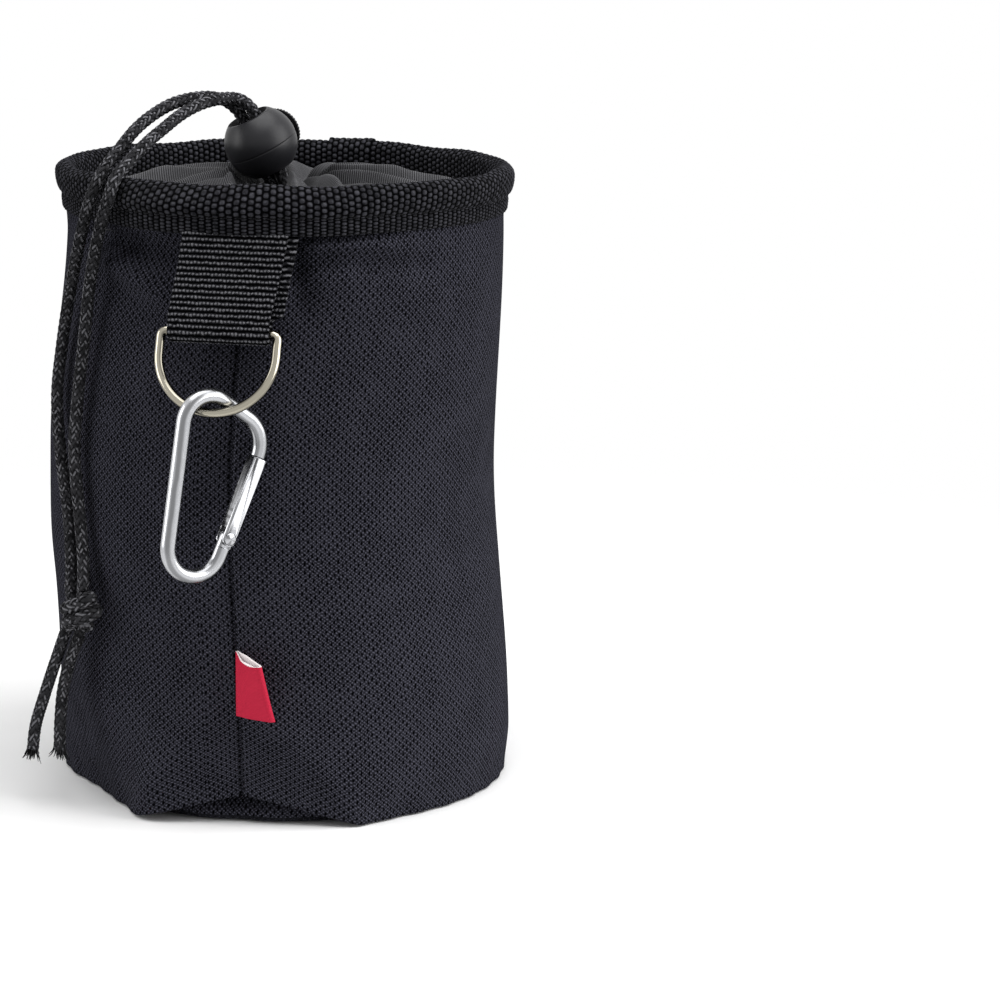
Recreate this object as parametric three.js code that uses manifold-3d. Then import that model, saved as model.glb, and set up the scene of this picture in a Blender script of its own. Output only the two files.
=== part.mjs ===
// A drawstring peg bag: a soft cylinder with a folded tape rim, a gathered collar drawn shut by a
// ball cord lock, and a webbing loop that carries a D-ring and a sprung-gate carabiner.
// Millimetres, +Z up. The origin is the centre of the base, on the surface that the bag stands on,
// and the front seam faces -Y.
import * as THREE from 'three';
import { mergeVertices } from 'three/addons/utils/BufferGeometryUtils.js';
import Module from 'manifold-3d';

const wasm = await Module();
wasm.setup();

const { clamp, degToRad, lerp, smoothstep } = THREE.MathUtils;

// Air between pieces that touch, and facets round the bag, a small turned piece and a bend
const FIT = 0.3;
const FACETS = 60;
const SMALL_FACETS = 24;
const BEND_FACETS = 4;

// Cloth wall: outside radius at the foot, and how far it swells and draws in above
const BAG_HEIGHT = 155;
const BAG_RADIUS = 56.2;
const CLOTH = 1.2;
const FOOT_LIFT = 0.5;
const SWELL = 1.2;
const SWELL_HEIGHT = 12;
const WAIST_IN = 0.8;
const WAIST_SHARE = 0.55;
const NECK_IN = 2;
const MOUTH_IN = 1.2;

// How the cloth hangs: the sag towards the cord tails, the front seam's valley, and the arch that
// the seam pulls into the lower edge
const TAIL_SIDE_DEG = 192;
const SLUMP = 3;
const SEAM_DEPTH = 1.2;
const SEAM_HALF_WIDTH = 4;
const ARCH_RISE = 6.5;
const ARCH_HALF_ANGLE_DEG = 16;
const ARCH_FADE = 30;

// Base panel
const BASE_CORNER = 4;
const BASE_UPSTAND = 11;

// Rim binding: tape folded over the mouth, sewn through below the fold
const TAPE = 1.1;
const BINDING_DROP = 11.5;
const STITCH_DROP = 7.4;
const ROLL_DROP = 3.6;
const ROLL = 0.5;

// Gathered collar and the hem that carries the drawcord
const COLLAR_CLOTH = 0.7;
const COLLAR_PLEATS = 12;
const PLEAT_FACETS = 4;
const COLLAR_BANDS = 6;
const COLLAR_SHOULDER = 9;
const COLLAR_SHOULDER_DROP = 6.2;
const COLLAR_CREST_SHARE = 0.49;
const COLLAR_CREST_DROP = 2.6;
const PLEAT_DEPTH = 1.7;
const HEM_RADIUS = 5.2;
const HEM_DROP = 8.2;
const HEM_SLACK = 0.8;
const HEM_START_DEG = 25;
const HEM_SWEEP_DEG = 275;
const HEM_FACETS = 4;

// Drawcord
const CORD = 3.2;
const CORD_SIDES = 8;
const TAIL_STEPS = 34;
const END_STEPS = 5;
const LOOP_STEPS = 14;
const LOOP_POINTS = 7;
const LOOP_START_DEG = -50;
const LOOP_SWEEP_DEG = 280;

// Ball cord lock: it leans towards the tails, with its plunger at the back
const LOCK_BALL = 18;
const LOCK_ASIDE = new THREE.Vector2(-5.1, -5.6);
const LOCK_RISE = 4.8;
const LOCK_LEAN_DEG = 23;
const LOCK_TURN_DEG = -14;
const LOCK_FLAT = 7.2;
const LOCK_WALL = 1.1;
const PLUNGER_WALL = 1;
const PLUNGER_FLOOR = 1.2;
const PLUNGER_TRAVEL = 2.2;
const BUTTON_PROUD = 2.6;
const BUTTON_DOME = 1.2;
const LOCK_SPRING_WIRE = 0.5;
const LOCK_SPRING_TURNS = 2;
const COIL_STEPS = 8;
const SPRING_SIDES = 5;

// Webbing strap: sewn end under the binding, then the hanging loop
const STRAP_WIDTH = 25;
const STRAP = 1.4;
const STRAP_TUCK = 5.5;
const STRAP_DROP = 21;
const STRAP_SEWN = 7;
const STRAP_STANDOFF = 0.6;
const STRAP_MARGIN = 2;
const STRAP_SKEW_DEG = 0.5;
const STRAP_TWIST_DEG = 0.5;
const STRAP_DRIFT = 3;
const STRAP_LEAN_DEG = 6;

// D-ring
const RING_WIRE = 2.2;
const RING_DEPTH = 19.4;
const RING_CORNER = 1.5;
const RING_BUTT_GAP = 0.5;
const RING_TILT_DEG = 18;
const RING_SIDES = 8;
const RING_STEPS = 48;

// Carabiner body: bent rod, drawn in its own plane with the top of the basket at the origin
const ROD = 3.6;
const CARABINER_HEIGHT = 42.8;
const BASKET_RADIUS = 6.5;
const TOP_BAR = 8.3;
const TOP_SLOPE_DEG = 27;
const NOSE_BEND = 8;
const HEEL_BEND = 7;
const GATE_SLOPE_DEG = 74;
const NOSE_LENGTH = 4.5;
const LINK_SLACK = 1.2;
const LINK_ASIDE = -0.6;
const CARABINER_YAW_DEG = 42;
const CARABINER_ROLL_DEG = 8;
const ROD_SIDES = 10;
const ROD_STEPS = 66;

// Carabiner gate: folded sheet channel on a rivet
const GATE_SHEET = 0.6;
const GATE_TANG = 1.8;
const RIVET = 1.8;
const RIVET_HEAD = 3;
const RIVET_HEAD_HEIGHT = 0.5;
const RIVET_FIT = 0.2;
const HINGE_TO_HEEL = 4.6;
const GATE_SPRING_WIRE = 0.5;
const GATE_SPRING_REACH = 13;
const GATE_SPRING_STEPS = 8;

// Red side tab, a folded tape sewn into the front seam
const TAB_HEIGHT = 16;
const TAB_LOW = 28;
const TAB_REACH = 10.5;
const TAB_CLOTH = 0.5;
const TAB_GAP = 0.8;
const TAB_LIFT_DEG = 38;

// Cord routes after the lock, in shares of the bag's radius and height: over the rim, down the wall
// to the knot, and the two free ends
const TAIL_OUTER_ROUTE = [
  [-0.1922, -0.1174, 1.0819], [-0.2349, -0.1495, 1.0968], [-0.2865, -0.2064, 1.1045],
  [-0.3594, -0.3167, 1.1045], [-0.4181, -0.4075, 1.0981], [-0.4698, -0.5053, 1.0852],
  [-0.5196, -0.621, 1.0652], [-0.5676, -0.7295, 1.0355], [-0.6139, -0.8114, 1.0065],
  [-0.6512, -0.8452, 0.9729], [-0.6922, -0.8149, 0.9329], [-0.7829, -0.694, 0.8355],
  [-0.8541, -0.6139, 0.729], [-0.8808, -0.6139, 0.6419], [-0.8505, -0.6762, 0.5581],
  [-0.8043, -0.7331, 0.4677], [-0.7829, -0.7722, 0.3903], [-0.774, -0.8185, 0.3445],
];
const TAIL_INNER_ROUTE = [
  [-0.1299, -0.1313, 1.0874], [-0.1665, -0.1701, 1.1005], [-0.2028, -0.2224, 1.1045],
  [-0.2651, -0.347, 1.1026], [-0.3096, -0.4146, 1.0961], [-0.3541, -0.4911, 1.0852],
  [-0.4021, -0.5996, 1.0671], [-0.4502, -0.71, 1.0477], [-0.4982, -0.8114, 1.0232],
  [-0.5391, -0.8861, 1], [-0.5641, -0.9075, 0.9703], [-0.605, -0.879, 0.9303],
  [-0.6762, -0.7972, 0.8387], [-0.7153, -0.7722, 0.7387], [-0.7473, -0.7616, 0.6516],
  [-0.7651, -0.7633, 0.5677], [-0.7384, -0.7936, 0.4742], [-0.7117, -0.8327, 0.3935],
  [-0.7064, -0.8683, 0.3523],
];
const END_OUTER_ROUTE = [
  [-0.7918, -0.8327, 0.2858], [-0.8434, -0.831, 0.2323], [-0.8897, -0.8363, 0.1806],
  [-0.9324, -0.8399, 0.129], [-0.9466, -0.8416, 0.0903],
];
const END_INNER_ROUTE = [
  [-0.726, -0.8541, 0.2813], [-0.7758, -0.8399, 0.2355], [-0.8114, -0.8256, 0.1871],
  [-0.8274, -0.8185, 0.1387], [-0.8327, -0.8185, 0.0903],
];

// Overhand knot of the doubled cord
const KNOT_PLACE = [-0.7295, -0.8719, 0.3194];
const KNOT_WIDTH = 10.4;
const KNOT_HEIGHT = 9;
const KNOT_DEPTH = 8.2;
const KNOT_SLANT_DEG = 14;
const KNOT_FACETS = 10;

// Sizes that follow from those above
const SWELL_RADIUS = BAG_RADIUS + SWELL;
const WAIST_RADIUS = BAG_RADIUS - WAIST_IN;
const WAIST_HEIGHT = WAIST_SHARE * BAG_HEIGHT;
const NECK_RADIUS = BAG_RADIUS - NECK_IN;
const MOUTH_RADIUS = BAG_RADIUS - MOUTH_IN;
const BINDING_LOW = BAG_HEIGHT - BINDING_DROP;
const WALL_TOP = BAG_HEIGHT - TAPE - 2 * FIT;
const WALL_STATIONS = [
  { height: FOOT_LIFT, radius: BAG_RADIUS, bands: 2 },
  { height: SWELL_HEIGHT, radius: SWELL_RADIUS, bands: 3 },
  { height: WAIST_HEIGHT, radius: WAIST_RADIUS, bands: 3 },
  { height: BINDING_LOW, radius: NECK_RADIUS, bands: 2 },
  { height: WALL_TOP, radius: MOUTH_RADIUS, bands: 0 },
];
const STRAP_STACK = 2 * STRAP;
const UP = new THREE.Vector3(0, 0, 1);
const TAIL_SIDE = new THREE.Vector3(1, 0, 0).applyAxisAngle(UP, degToRad(TAIL_SIDE_DEG));
const CORD_OFFSET = (CORD + FIT) / 2;
const CORD_PASSAGE = CORD_OFFSET + CORD / 2 + FIT;
const COLLAR_CREST_RADIUS = COLLAR_CREST_SHARE * MOUTH_RADIUS;
const LOCK_RADIUS = LOCK_BALL / 2;
const LOCK_CENTRE = new THREE.Vector3(LOCK_ASIDE.x, LOCK_ASIDE.y, BAG_HEIGHT + LOCK_RISE);
const CORD_JOIN = LOCK_FLAT + CORD / 2;
const CORD_STRAIGHT = LOCK_FLAT - CORD / 2;

const FINISH = {
  cloth: { color: 0x24242a, roughness: 0.85, metalness: 0 },
  tape: { color: 0x1b1b1f, roughness: 0.8, metalness: 0 },
  nylon: { color: 0x3c3c40, roughness: 0.6, metalness: 0 },
  cord: { color: 0x1d1d1f, roughness: 0.75, metalness: 0 },
  plastic: { color: 0x1a1a1c, roughness: 0.4, metalness: 0 },
  aluminium: { color: 0xc9cbcd, roughness: 0.3, metalness: 1 },
  nickel: { color: 0xb9bab8, roughness: 0.25, metalness: 1 },
  steel: { color: 0x9a9c9e, roughness: 0.35, metalness: 1 },
  tab: { color: 0xc4203e, roughness: 0.8, metalness: 0 },
};

// Vertices are shared, slivers on the axis dropped and faces turned outwards
function closed(geometry) {
  const bare = new THREE.BufferGeometry();
  bare.setAttribute('position', geometry.getAttribute('position'));
  bare.setIndex(geometry.getIndex());
  const merged = mergeVertices(bare);
  const corners = merged.getIndex().array;
  const at = merged.getAttribute('position');
  const [a, b, c] = [new THREE.Vector3(), new THREE.Vector3(), new THREE.Vector3()];
  const kept = [];
  let volume = 0;
  for (let i = 0; i < corners.length; i += 3) {
    const [p, q, r] = corners.slice(i, i + 3);
    if (p === q || q === r || r === p) continue;
    a.fromBufferAttribute(at, p);
    b.fromBufferAttribute(at, q);
    c.fromBufferAttribute(at, r);
    volume += a.dot(b.cross(c));
    kept.push(p, q, r);
  }
  if (volume < 0) kept.reverse();
  merged.setIndex(kept);
  return merged;
}

function solid(geometry) {
  const ready = closed(geometry);
  return new wasm.Manifold(new wasm.Mesh({
    numProp: 3,
    vertProperties: new Float32Array(ready.getAttribute('position').array),
    triVerts: new Uint32Array(ready.getIndex().array),
  }));
}

function fromSolid(body) {
  const mesh = body.getMesh();
  const geometry = new THREE.BufferGeometry();
  geometry.setAttribute('position', new THREE.BufferAttribute(mesh.vertProperties, 3));
  geometry.setIndex(new THREE.BufferAttribute(mesh.triVerts, 1));
  return geometry;
}

function piece(name, geometry, finish) {
  const mesh = new THREE.Mesh(closed(geometry), new THREE.MeshStandardMaterial(FINISH[finish]));
  mesh.name = name;
  return mesh;
}

function turned(points, facets = FACETS) {
  return new THREE.LatheGeometry(points, facets).rotateX(Math.PI / 2);
}

function ring(outline, facets = FACETS) {
  return turned([...outline, outline[0]], facets);
}

function tube(curve, diameter, sides, steps) {
  const round = new THREE.EllipseCurve(0, 0, diameter / 2, diameter / 2).getPoints(sides);
  const section = new THREE.Shape(round.slice(0, -1));
  return new THREE.ExtrudeGeometry(section, { steps, extrudePath: curve });
}

function box(low, high) {
  const size = new THREE.Vector3().subVectors(high, low);
  const middle = new THREE.Vector3().addVectors(low, high).multiplyScalar(0.5);
  return new THREE.BoxGeometry(size.x, size.y, size.z).translate(middle.x, middle.y, middle.z);
}

// An outline drawn in X and Z, given its thickness along Y about the plane
function plate(shape, thickness, curveSegments = 2 * BEND_FACETS) {
  const flat = new THREE.ExtrudeGeometry(shape, { depth: thickness, bevelEnabled: false, curveSegments });
  return flat.translate(0, 0, -thickness / 2).rotateX(Math.PI / 2);
}

// Both edges of a strip of even thickness along a line of points
function strip(points, thickness) {
  const edge = (side) => points.map((point, i) => {
    const before = points[Math.max(i - 1, 0)];
    const after = points[Math.min(i + 1, points.length - 1)];
    const along = new THREE.Vector2().subVectors(after, before).normalize();
    const out = new THREE.Vector2(-along.y, along.x).multiplyScalar(side * thickness / 2);
    return out.add(point);
  });
  return [...edge(1), ...edge(-1).reverse()];
}

function reshape(geometry, move) {
  const at = geometry.getAttribute('position');
  const point = new THREE.Vector3();
  for (let i = 0; i < at.count; i++) {
    point.fromBufferAttribute(at, i);
    move(point);
    at.setXYZ(i, point.x, point.y, point.z);
  }
  return geometry;
}

// A flat path of lines and arcs, stood up in the X and Z plane
class UprightPath extends THREE.Curve {
  constructor(path) {
    super();
    this.path = path;
  }

  getPoint(t, target = new THREE.Vector3()) {
    const flat = this.path.getPoint(t);
    return target.set(flat.x, 0, flat.y);
  }
}

function wallRadius(z) {
  const last = WALL_STATIONS.length - 2;
  const above = WALL_STATIONS.findIndex(({ height }) => height > z);
  const i = above < 0 ? last : Math.min(Math.max(above - 1, 0), last);
  const low = WALL_STATIONS[i];
  const high = WALL_STATIONS[i + 1];
  return lerp(low.radius, high.radius, smoothstep(z, low.height, high.height));
}

function wallLevels() {
  const levels = WALL_STATIONS.flatMap(({ height, bands }, i) => {
    const next = WALL_STATIONS[i + 1]?.height;
    return Array.from({ length: bands }, (_, band) => lerp(height, next, band / bands));
  });
  return [...levels, WALL_TOP];
}

// Radius at which the strap's sewn end lies on the wall
function strapSeat() {
  return wallRadius(BINDING_LOW + STRAP_TUCK) + FIT;
}

function frontAngle(point) {
  return Math.atan2(point.x, -point.y);
}

function seamInset(radius, angle, z) {
  const fade = 1 - smoothstep(z, BINDING_LOW - 2 * SEAM_HALF_WIDTH, BINDING_LOW);
  return SEAM_DEPTH * fade * Math.exp(-((radius * angle / SEAM_HALF_WIDTH) ** 2));
}

// The cloth's hang, for a point on the plain turned wall
function hang(point) {
  const radius = Math.hypot(point.x, point.y);
  const angle = frontAngle(point);
  const inset = seamInset(radius, angle, point.z);
  const span = Math.min(Math.max((point.z - SWELL_HEIGHT) / (BINDING_LOW - SWELL_HEIGHT), 0), 1);
  const lift = ARCH_RISE * Math.exp(-((angle / degToRad(ARCH_HALF_ANGLE_DEG)) ** 2));
  point.multiply(new THREE.Vector3(1 - inset / radius, 1 - inset / radius, 1));
  point.addScaledVector(TAIL_SIDE, SLUMP * Math.sin(Math.PI * span) ** 2);
  point.z += lift * (1 - smoothstep(point.z, FOOT_LIFT, ARCH_FADE));
}

function bagWall() {
  const levels = wallLevels();
  const outside = levels.map((z) => new THREE.Vector2(wallRadius(z), z));
  const inside = levels.map((z) => new THREE.Vector2(wallRadius(z) - CLOTH, z)).reverse();
  return piece('bag_wall', reshape(ring([...outside, ...inside]), hang), 'cloth');
}

function basePanel() {
  const outer = BAG_RADIUS - CLOTH - FIT;
  const section = new THREE.Path();
  section.moveTo(0, 0);
  section.lineTo(outer - BASE_CORNER, 0);
  section.absarc(outer - BASE_CORNER, BASE_CORNER, BASE_CORNER, -Math.PI / 2, 0);
  section.lineTo(outer, BASE_UPSTAND);
  section.lineTo(outer - CLOTH, BASE_UPSTAND);
  section.absarc(outer - BASE_CORNER, BASE_CORNER, BASE_CORNER - CLOTH, 0, -Math.PI / 2, true);
  section.lineTo(0, CLOTH);
  const follow = (point) => {
    const radius = Math.hypot(point.x, point.y);
    const share = smoothstep(radius, outer - 2 * BASE_CORNER, outer - BASE_CORNER);
    const inset = share * seamInset(radius, frontAngle(point), point.z);
    if (share > 0) point.multiply(new THREE.Vector3(1 - inset / radius, 1 - inset / radius, 1));
  };
  return piece('base_panel', reshape(turned(section.getPoints(BEND_FACETS / 2)), follow), 'cloth');
}

function rimBinding() {
  const outer = (drop, swell) => {
    const z = BAG_HEIGHT - drop;
    return new THREE.Vector2(wallRadius(Math.min(z, WALL_TOP)) + FIT + TAPE / 2 + swell, z);
  };
  const inner = (drop, swell) => {
    const z = BAG_HEIGHT - drop;
    return new THREE.Vector2(wallRadius(Math.min(z, WALL_TOP)) - CLOTH - FIT - TAPE / 2 - swell, z);
  };
  const fold = TAPE + 2 * FIT;
  const tapeLine = [
    outer(BINDING_DROP, 0), outer(STITCH_DROP, 0), outer(ROLL_DROP, ROLL), outer(fold, ROLL / 2),
    new THREE.Vector2(MOUTH_RADIUS - CLOTH / 2, BAG_HEIGHT - TAPE / 2),
    inner(fold, ROLL / 2), inner(ROLL_DROP, ROLL), inner(STITCH_DROP, 0), inner(BINDING_DROP, 0),
  ];
  const pocket = STRAP_WIDTH / 2 + STRAP_MARGIN;
  const overStrap = (point) => {
    const radius = Math.hypot(point.x, point.y);
    if (point.y > 0 || radius < NECK_RADIUS) return;
    const across = 1 - smoothstep(Math.abs(point.x), pocket, pocket + 3 * STRAP_STACK);
    const below = 1 - smoothstep(point.z, BAG_HEIGHT - ROLL_DROP - FIT, BAG_HEIGHT - fold);
    const out = 1 + across * below * (strapSeat() - NECK_RADIUS + STRAP_STACK) / radius;
    point.multiply(new THREE.Vector3(out, out, 1));
  };
  return piece('rim_binding', reshape(ring(strip(tapeLine, TAPE)), overStrap), 'tape');
}

function hemPoint(angle, radius) {
  const middle = new THREE.Vector2(HEM_RADIUS, BAG_HEIGHT - HEM_DROP);
  return new THREE.Vector2(Math.cos(angle), Math.sin(angle)).multiplyScalar(radius).add(middle);
}

function closureCollar() {
  const edge = wallRadius(BINDING_LOW) - CLOTH - FIT - COLLAR_CLOTH / 2;
  const edgeHeight = BINDING_LOW - FIT - 2 * COLLAR_CLOTH;
  const crestHeight = BAG_HEIGHT - COLLAR_CREST_DROP;
  const channel = CORD / 2 + HEM_SLACK + COLLAR_CLOTH / 2;
  const hem = Array.from({ length: HEM_FACETS + 1 }, (_, i) => {
    return hemPoint(degToRad(HEM_START_DEG + i * HEM_SWEEP_DEG / HEM_FACETS), channel);
  });
  const [hemTop, ...hemRest] = hem;
  const dome = new THREE.SplineCurve([
    new THREE.Vector2(edge, edgeHeight),
    new THREE.Vector2(edge - COLLAR_SHOULDER, BAG_HEIGHT - COLLAR_SHOULDER_DROP),
    new THREE.Vector2(COLLAR_CREST_RADIUS, crestHeight),
    hemTop,
  ]);
  const sheet = dome.getPoints(COLLAR_BANDS);
  const gather = (point) => {
    const radius = Math.hypot(point.x, point.y);
    const inward = smoothstep(radius, hemTop.x, COLLAR_CREST_RADIUS);
    const outward = 1 - smoothstep(radius, COLLAR_CREST_RADIUS, edge);
    point.z += PLEAT_DEPTH * inward * outward * Math.cos(COLLAR_PLEATS * frontAngle(point));
  };
  const outline = strip([...sheet, ...hemRest], COLLAR_CLOTH);
  const cloth = reshape(ring(outline, PLEAT_FACETS * COLLAR_PLEATS), gather);
  const reach = channel + COLLAR_CLOTH;
  const centre = lockPoint(0, -CORD_JOIN);
  const exitFoot = BAG_HEIGHT - HEM_DROP - CORD / 2;
  const exitLow = new THREE.Vector3(centre.x - 2 * CORD, -HEM_RADIUS - reach, exitFoot);
  const exitHigh = new THREE.Vector3(centre.x + 2 * CORD, -HEM_RADIUS / 2, BAG_HEIGHT);
  return piece('closure_collar', fromSolid(solid(cloth).subtract(solid(box(exitLow, exitHigh)))), 'nylon');
}

// The lock leans about the level axis square to the tails' side, after a turn about its own bore
function lockFrame() {
  const leanAxis = UP.clone().cross(TAIL_SIDE);
  const lean = new THREE.Quaternion().setFromAxisAngle(leanAxis, degToRad(LOCK_LEAN_DEG));
  const turn = new THREE.Quaternion().setFromAxisAngle(UP, degToRad(LOCK_TURN_DEG));
  return lean.multiply(turn);
}

function lockPoint(across, along) {
  return new THREE.Vector3(across, 0, along).applyQuaternion(lockFrame()).add(LOCK_CENTRE);
}

function placed([x, y, z]) {
  return new THREE.Vector3(x * BAG_RADIUS, y * BAG_RADIUS, z * BAG_HEIGHT);
}

function cord(name, points, steps) {
  return piece(name, tube(new THREE.CatmullRomCurve3(points), CORD, CORD_SIDES, steps), 'cord');
}

// One cord: a loop in the hem, both tails through the lock and over the rim, and the ends past the knot
function drawcord() {
  const hemHeight = BAG_HEIGHT - HEM_DROP;
  const turnRound = Array.from({ length: LOOP_POINTS }, (_, i) => {
    const angle = degToRad(LOOP_START_DEG + i * LOOP_SWEEP_DEG / (LOOP_POINTS - 1));
    return new THREE.Vector3(HEM_RADIUS * Math.cos(angle), HEM_RADIUS * Math.sin(angle), hemHeight);
  });
  const loopEnd = (side) => [
    lockPoint(side * CORD_OFFSET, -CORD_JOIN - FIT),
    lockPoint(side * CORD_OFFSET, -CORD_JOIN - FIT - CORD / 2),
  ];
  const loop = [...loopEnd(1), ...turnRound, ...loopEnd(-1).reverse()];
  const tail = (side, route) => [
    lockPoint(side * CORD_OFFSET, -CORD_JOIN),
    lockPoint(side * CORD_OFFSET, 0),
    lockPoint(side * CORD_OFFSET, CORD_STRAIGHT),
    ...route.map(placed),
  ];
  return [
    cord('drawcord_loop', loop, LOOP_STEPS),
    cord('drawcord_tail_outer', tail(-1, TAIL_OUTER_ROUTE), TAIL_STEPS),
    cord('drawcord_tail_inner', tail(1, TAIL_INNER_ROUTE), TAIL_STEPS),
    cord('drawcord_end_outer', END_OUTER_ROUTE.map(placed), END_STEPS),
    cord('drawcord_end_inner', END_INNER_ROUTE.map(placed), END_STEPS),
  ];
}

// Two slanted wraps of the doubled cord, pulled tight against each other
function drawcordKnot() {
  const wrapRadius = KNOT_HEIGHT / 4 + FIT;
  const wrap = () => {
    const length = KNOT_WIDTH - 2 * wrapRadius;
    const capsule = new THREE.CapsuleGeometry(wrapRadius, length, BEND_FACETS, KNOT_FACETS);
    return capsule.rotateZ(Math.PI / 2).scale(1, KNOT_DEPTH / (2 * wrapRadius), 1);
  };
  const rise = KNOT_HEIGHT / 2 - wrapRadius;
  const upper = solid(wrap().rotateY(degToRad(-KNOT_SLANT_DEG)).translate(0, 0, rise));
  const lower = solid(wrap().rotateY(degToRad(-KNOT_SLANT_DEG)).translate(0, 0, -rise));
  const knot = piece('drawcord_knot', fromSolid(upper.add(lower)), 'cord');
  knot.position.copy(placed(KNOT_PLACE));
  knot.rotation.z = frontAngle(knot.position);
  return knot;
}

function cordLock() {
  const bore = new THREE.CylinderGeometry(CORD_PASSAGE, CORD_PASSAGE, LOCK_BALL + FIT, SMALL_FACETS);
  bore.rotateX(Math.PI / 2);
  const plungerRadius = CORD_PASSAGE + PLUNGER_WALL;
  const blind = Math.sqrt(LOCK_RADIUS ** 2 - (plungerRadius + FIT + LOCK_WALL) ** 2);
  const sleeveRadius = plungerRadius + FIT;
  const sleeve = new THREE.CylinderGeometry(sleeveRadius, sleeveRadius, LOCK_RADIUS + blind, SMALL_FACETS);
  sleeve.translate(0, (LOCK_RADIUS - blind) / 2, 0);
  const slab = box(
    new THREE.Vector3(-LOCK_RADIUS, -LOCK_RADIUS, -LOCK_FLAT),
    new THREE.Vector3(LOCK_RADIUS, LOCK_RADIUS, LOCK_FLAT),
  );
  const sphere = new THREE.SphereGeometry(LOCK_RADIUS, SMALL_FACETS, SMALL_FACETS / 2);
  const drilled = solid(sphere).intersect(solid(slab)).subtract(solid(bore)).subtract(solid(sleeve));
  const body = piece('cord_lock_body', fromSolid(drilled), 'plastic');

  const gripEdge = CORD / 2 + FIT;
  const inner = -gripEdge - PLUNGER_FLOOR;
  const outer = LOCK_RADIUS + BUTTON_PROUD;
  const profile = new THREE.Path();
  profile.moveTo(0, inner);
  profile.lineTo(plungerRadius, inner);
  profile.lineTo(plungerRadius, outer - BUTTON_DOME);
  profile.quadraticCurveTo(plungerRadius, outer, 0, outer);
  const stem = new THREE.LatheGeometry(profile.getPoints(BEND_FACETS), SMALL_FACETS);
  const slot = box(
    new THREE.Vector3(-CORD_PASSAGE, -gripEdge, -LOCK_RADIUS),
    new THREE.Vector3(CORD_PASSAGE, gripEdge + PLUNGER_TRAVEL, LOCK_RADIUS),
  );
  const plunger = piece('cord_lock_plunger', fromSolid(solid(stem).subtract(solid(slot))), 'plastic');

  const springRadius = plungerRadius - PLUNGER_WALL;
  const springLow = -blind + FIT + LOCK_SPRING_WIRE / 2;
  const springHigh = inner - FIT - LOCK_SPRING_WIRE / 2;
  const coilSteps = COIL_STEPS * LOCK_SPRING_TURNS;
  const coil = Array.from({ length: coilSteps + 1 }, (_, i) => {
    const angle = i * 2 * Math.PI / COIL_STEPS;
    const along = lerp(springLow, springHigh, i / coilSteps);
    return new THREE.Vector3(springRadius * Math.cos(angle), along, springRadius * Math.sin(angle));
  });
  const wire = tube(new THREE.CatmullRomCurve3(coil), LOCK_SPRING_WIRE, SPRING_SIDES, coilSteps);
  const spring = piece('cord_lock_spring', wire, 'steel');

  const lock = new THREE.Group();
  lock.position.copy(LOCK_CENTRE);
  lock.quaternion.copy(lockFrame());
  lock.add(body, plunger, spring);
  return lock;
}

// The strap's sewn end follows the wall under the binding, skewed like the loop that hangs from it
function webbingAnchor(hingeHeight) {
  const low = strapSeat();
  const half = STRAP_WIDTH / 2 / low;
  const shape = new THREE.Shape();
  shape.absarc(0, 0, low, -half, half);
  shape.absarc(0, 0, low + STRAP_STACK, half, -half, true);
  const foot = hingeHeight + STRAP_STACK / 2 + FIT;
  const height = BINDING_LOW + STRAP_TUCK - foot;
  const band = new THREE.ExtrudeGeometry(shape, {
    depth: height,
    bevelEnabled: false,
    curveSegments: BEND_FACETS,
  });
  band.rotateZ(-Math.PI / 2).translate(0, 0, foot);
  const skew = (point) => {
    point.z -= point.x * Math.tan(degToRad(STRAP_SKEW_DEG));
  };
  return piece('webbing_anchor', reshape(band, skew), 'tape');
}

// Section of the loop in Y and Z: sewn plies at the top, parted round the bar of the D-ring.
// The loop drifts to one side on its way down to the bar
function webbingLoop() {
  const half = STRAP_STACK / 2;
  const eye = RING_WIRE / 2 + FIT;
  const fold = eye + STRAP;
  const flare = -STRAP_DROP + 3 * eye;
  const parting = -STRAP_SEWN - STRAP;
  const outline = new THREE.Shape();
  outline.absarc(0, 0, half, 0, Math.PI);
  outline.lineTo(-half, -STRAP_SEWN);
  outline.bezierCurveTo(-half, parting, -fold, flare, -fold, -STRAP_DROP);
  outline.absarc(0, -STRAP_DROP, fold, Math.PI, 2 * Math.PI);
  outline.bezierCurveTo(fold, flare, half, parting, half, -STRAP_SEWN);
  const opening = new THREE.Path();
  opening.moveTo(0, parting - STRAP);
  opening.quadraticCurveTo(-eye, flare, -eye, -STRAP_DROP);
  opening.absarc(0, -STRAP_DROP, eye, Math.PI, 2 * Math.PI);
  opening.quadraticCurveTo(eye, flare, 0, parting - STRAP);
  outline.holes.push(opening);
  const loop = plate(outline, STRAP_WIDTH).rotateZ(Math.PI / 2);
  const drift = (point) => {
    point.x -= STRAP_DRIFT * clamp(-point.z / (STRAP_DROP - fold), 0, 1);
  };
  return piece('webbing_loop', reshape(loop, drift), 'tape');
}

// Bent wire, butted at the middle of its straight bar. The bar lies on X, the bow hangs below it
function dRing() {
  const half = STRAP_WIDTH / 2 + FIT + RING_WIRE / 2;
  const bowHeight = -(RING_DEPTH - half);
  const path = new THREE.Path();
  path.moveTo(-RING_BUTT_GAP / 2, 0);
  path.lineTo(-half + RING_CORNER, 0);
  path.absarc(-half + RING_CORNER, -RING_CORNER, RING_CORNER, Math.PI / 2, Math.PI);
  path.lineTo(-half, bowHeight);
  path.absarc(0, bowHeight, half, Math.PI, 2 * Math.PI);
  path.lineTo(half, -RING_CORNER);
  path.absarc(half - RING_CORNER, -RING_CORNER, RING_CORNER, 0, Math.PI / 2);
  path.lineTo(RING_BUTT_GAP / 2, 0);
  return piece('d_ring', tube(new UprightPath(path), RING_WIRE, RING_SIDES, RING_STEPS), 'nickel');
}

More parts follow.
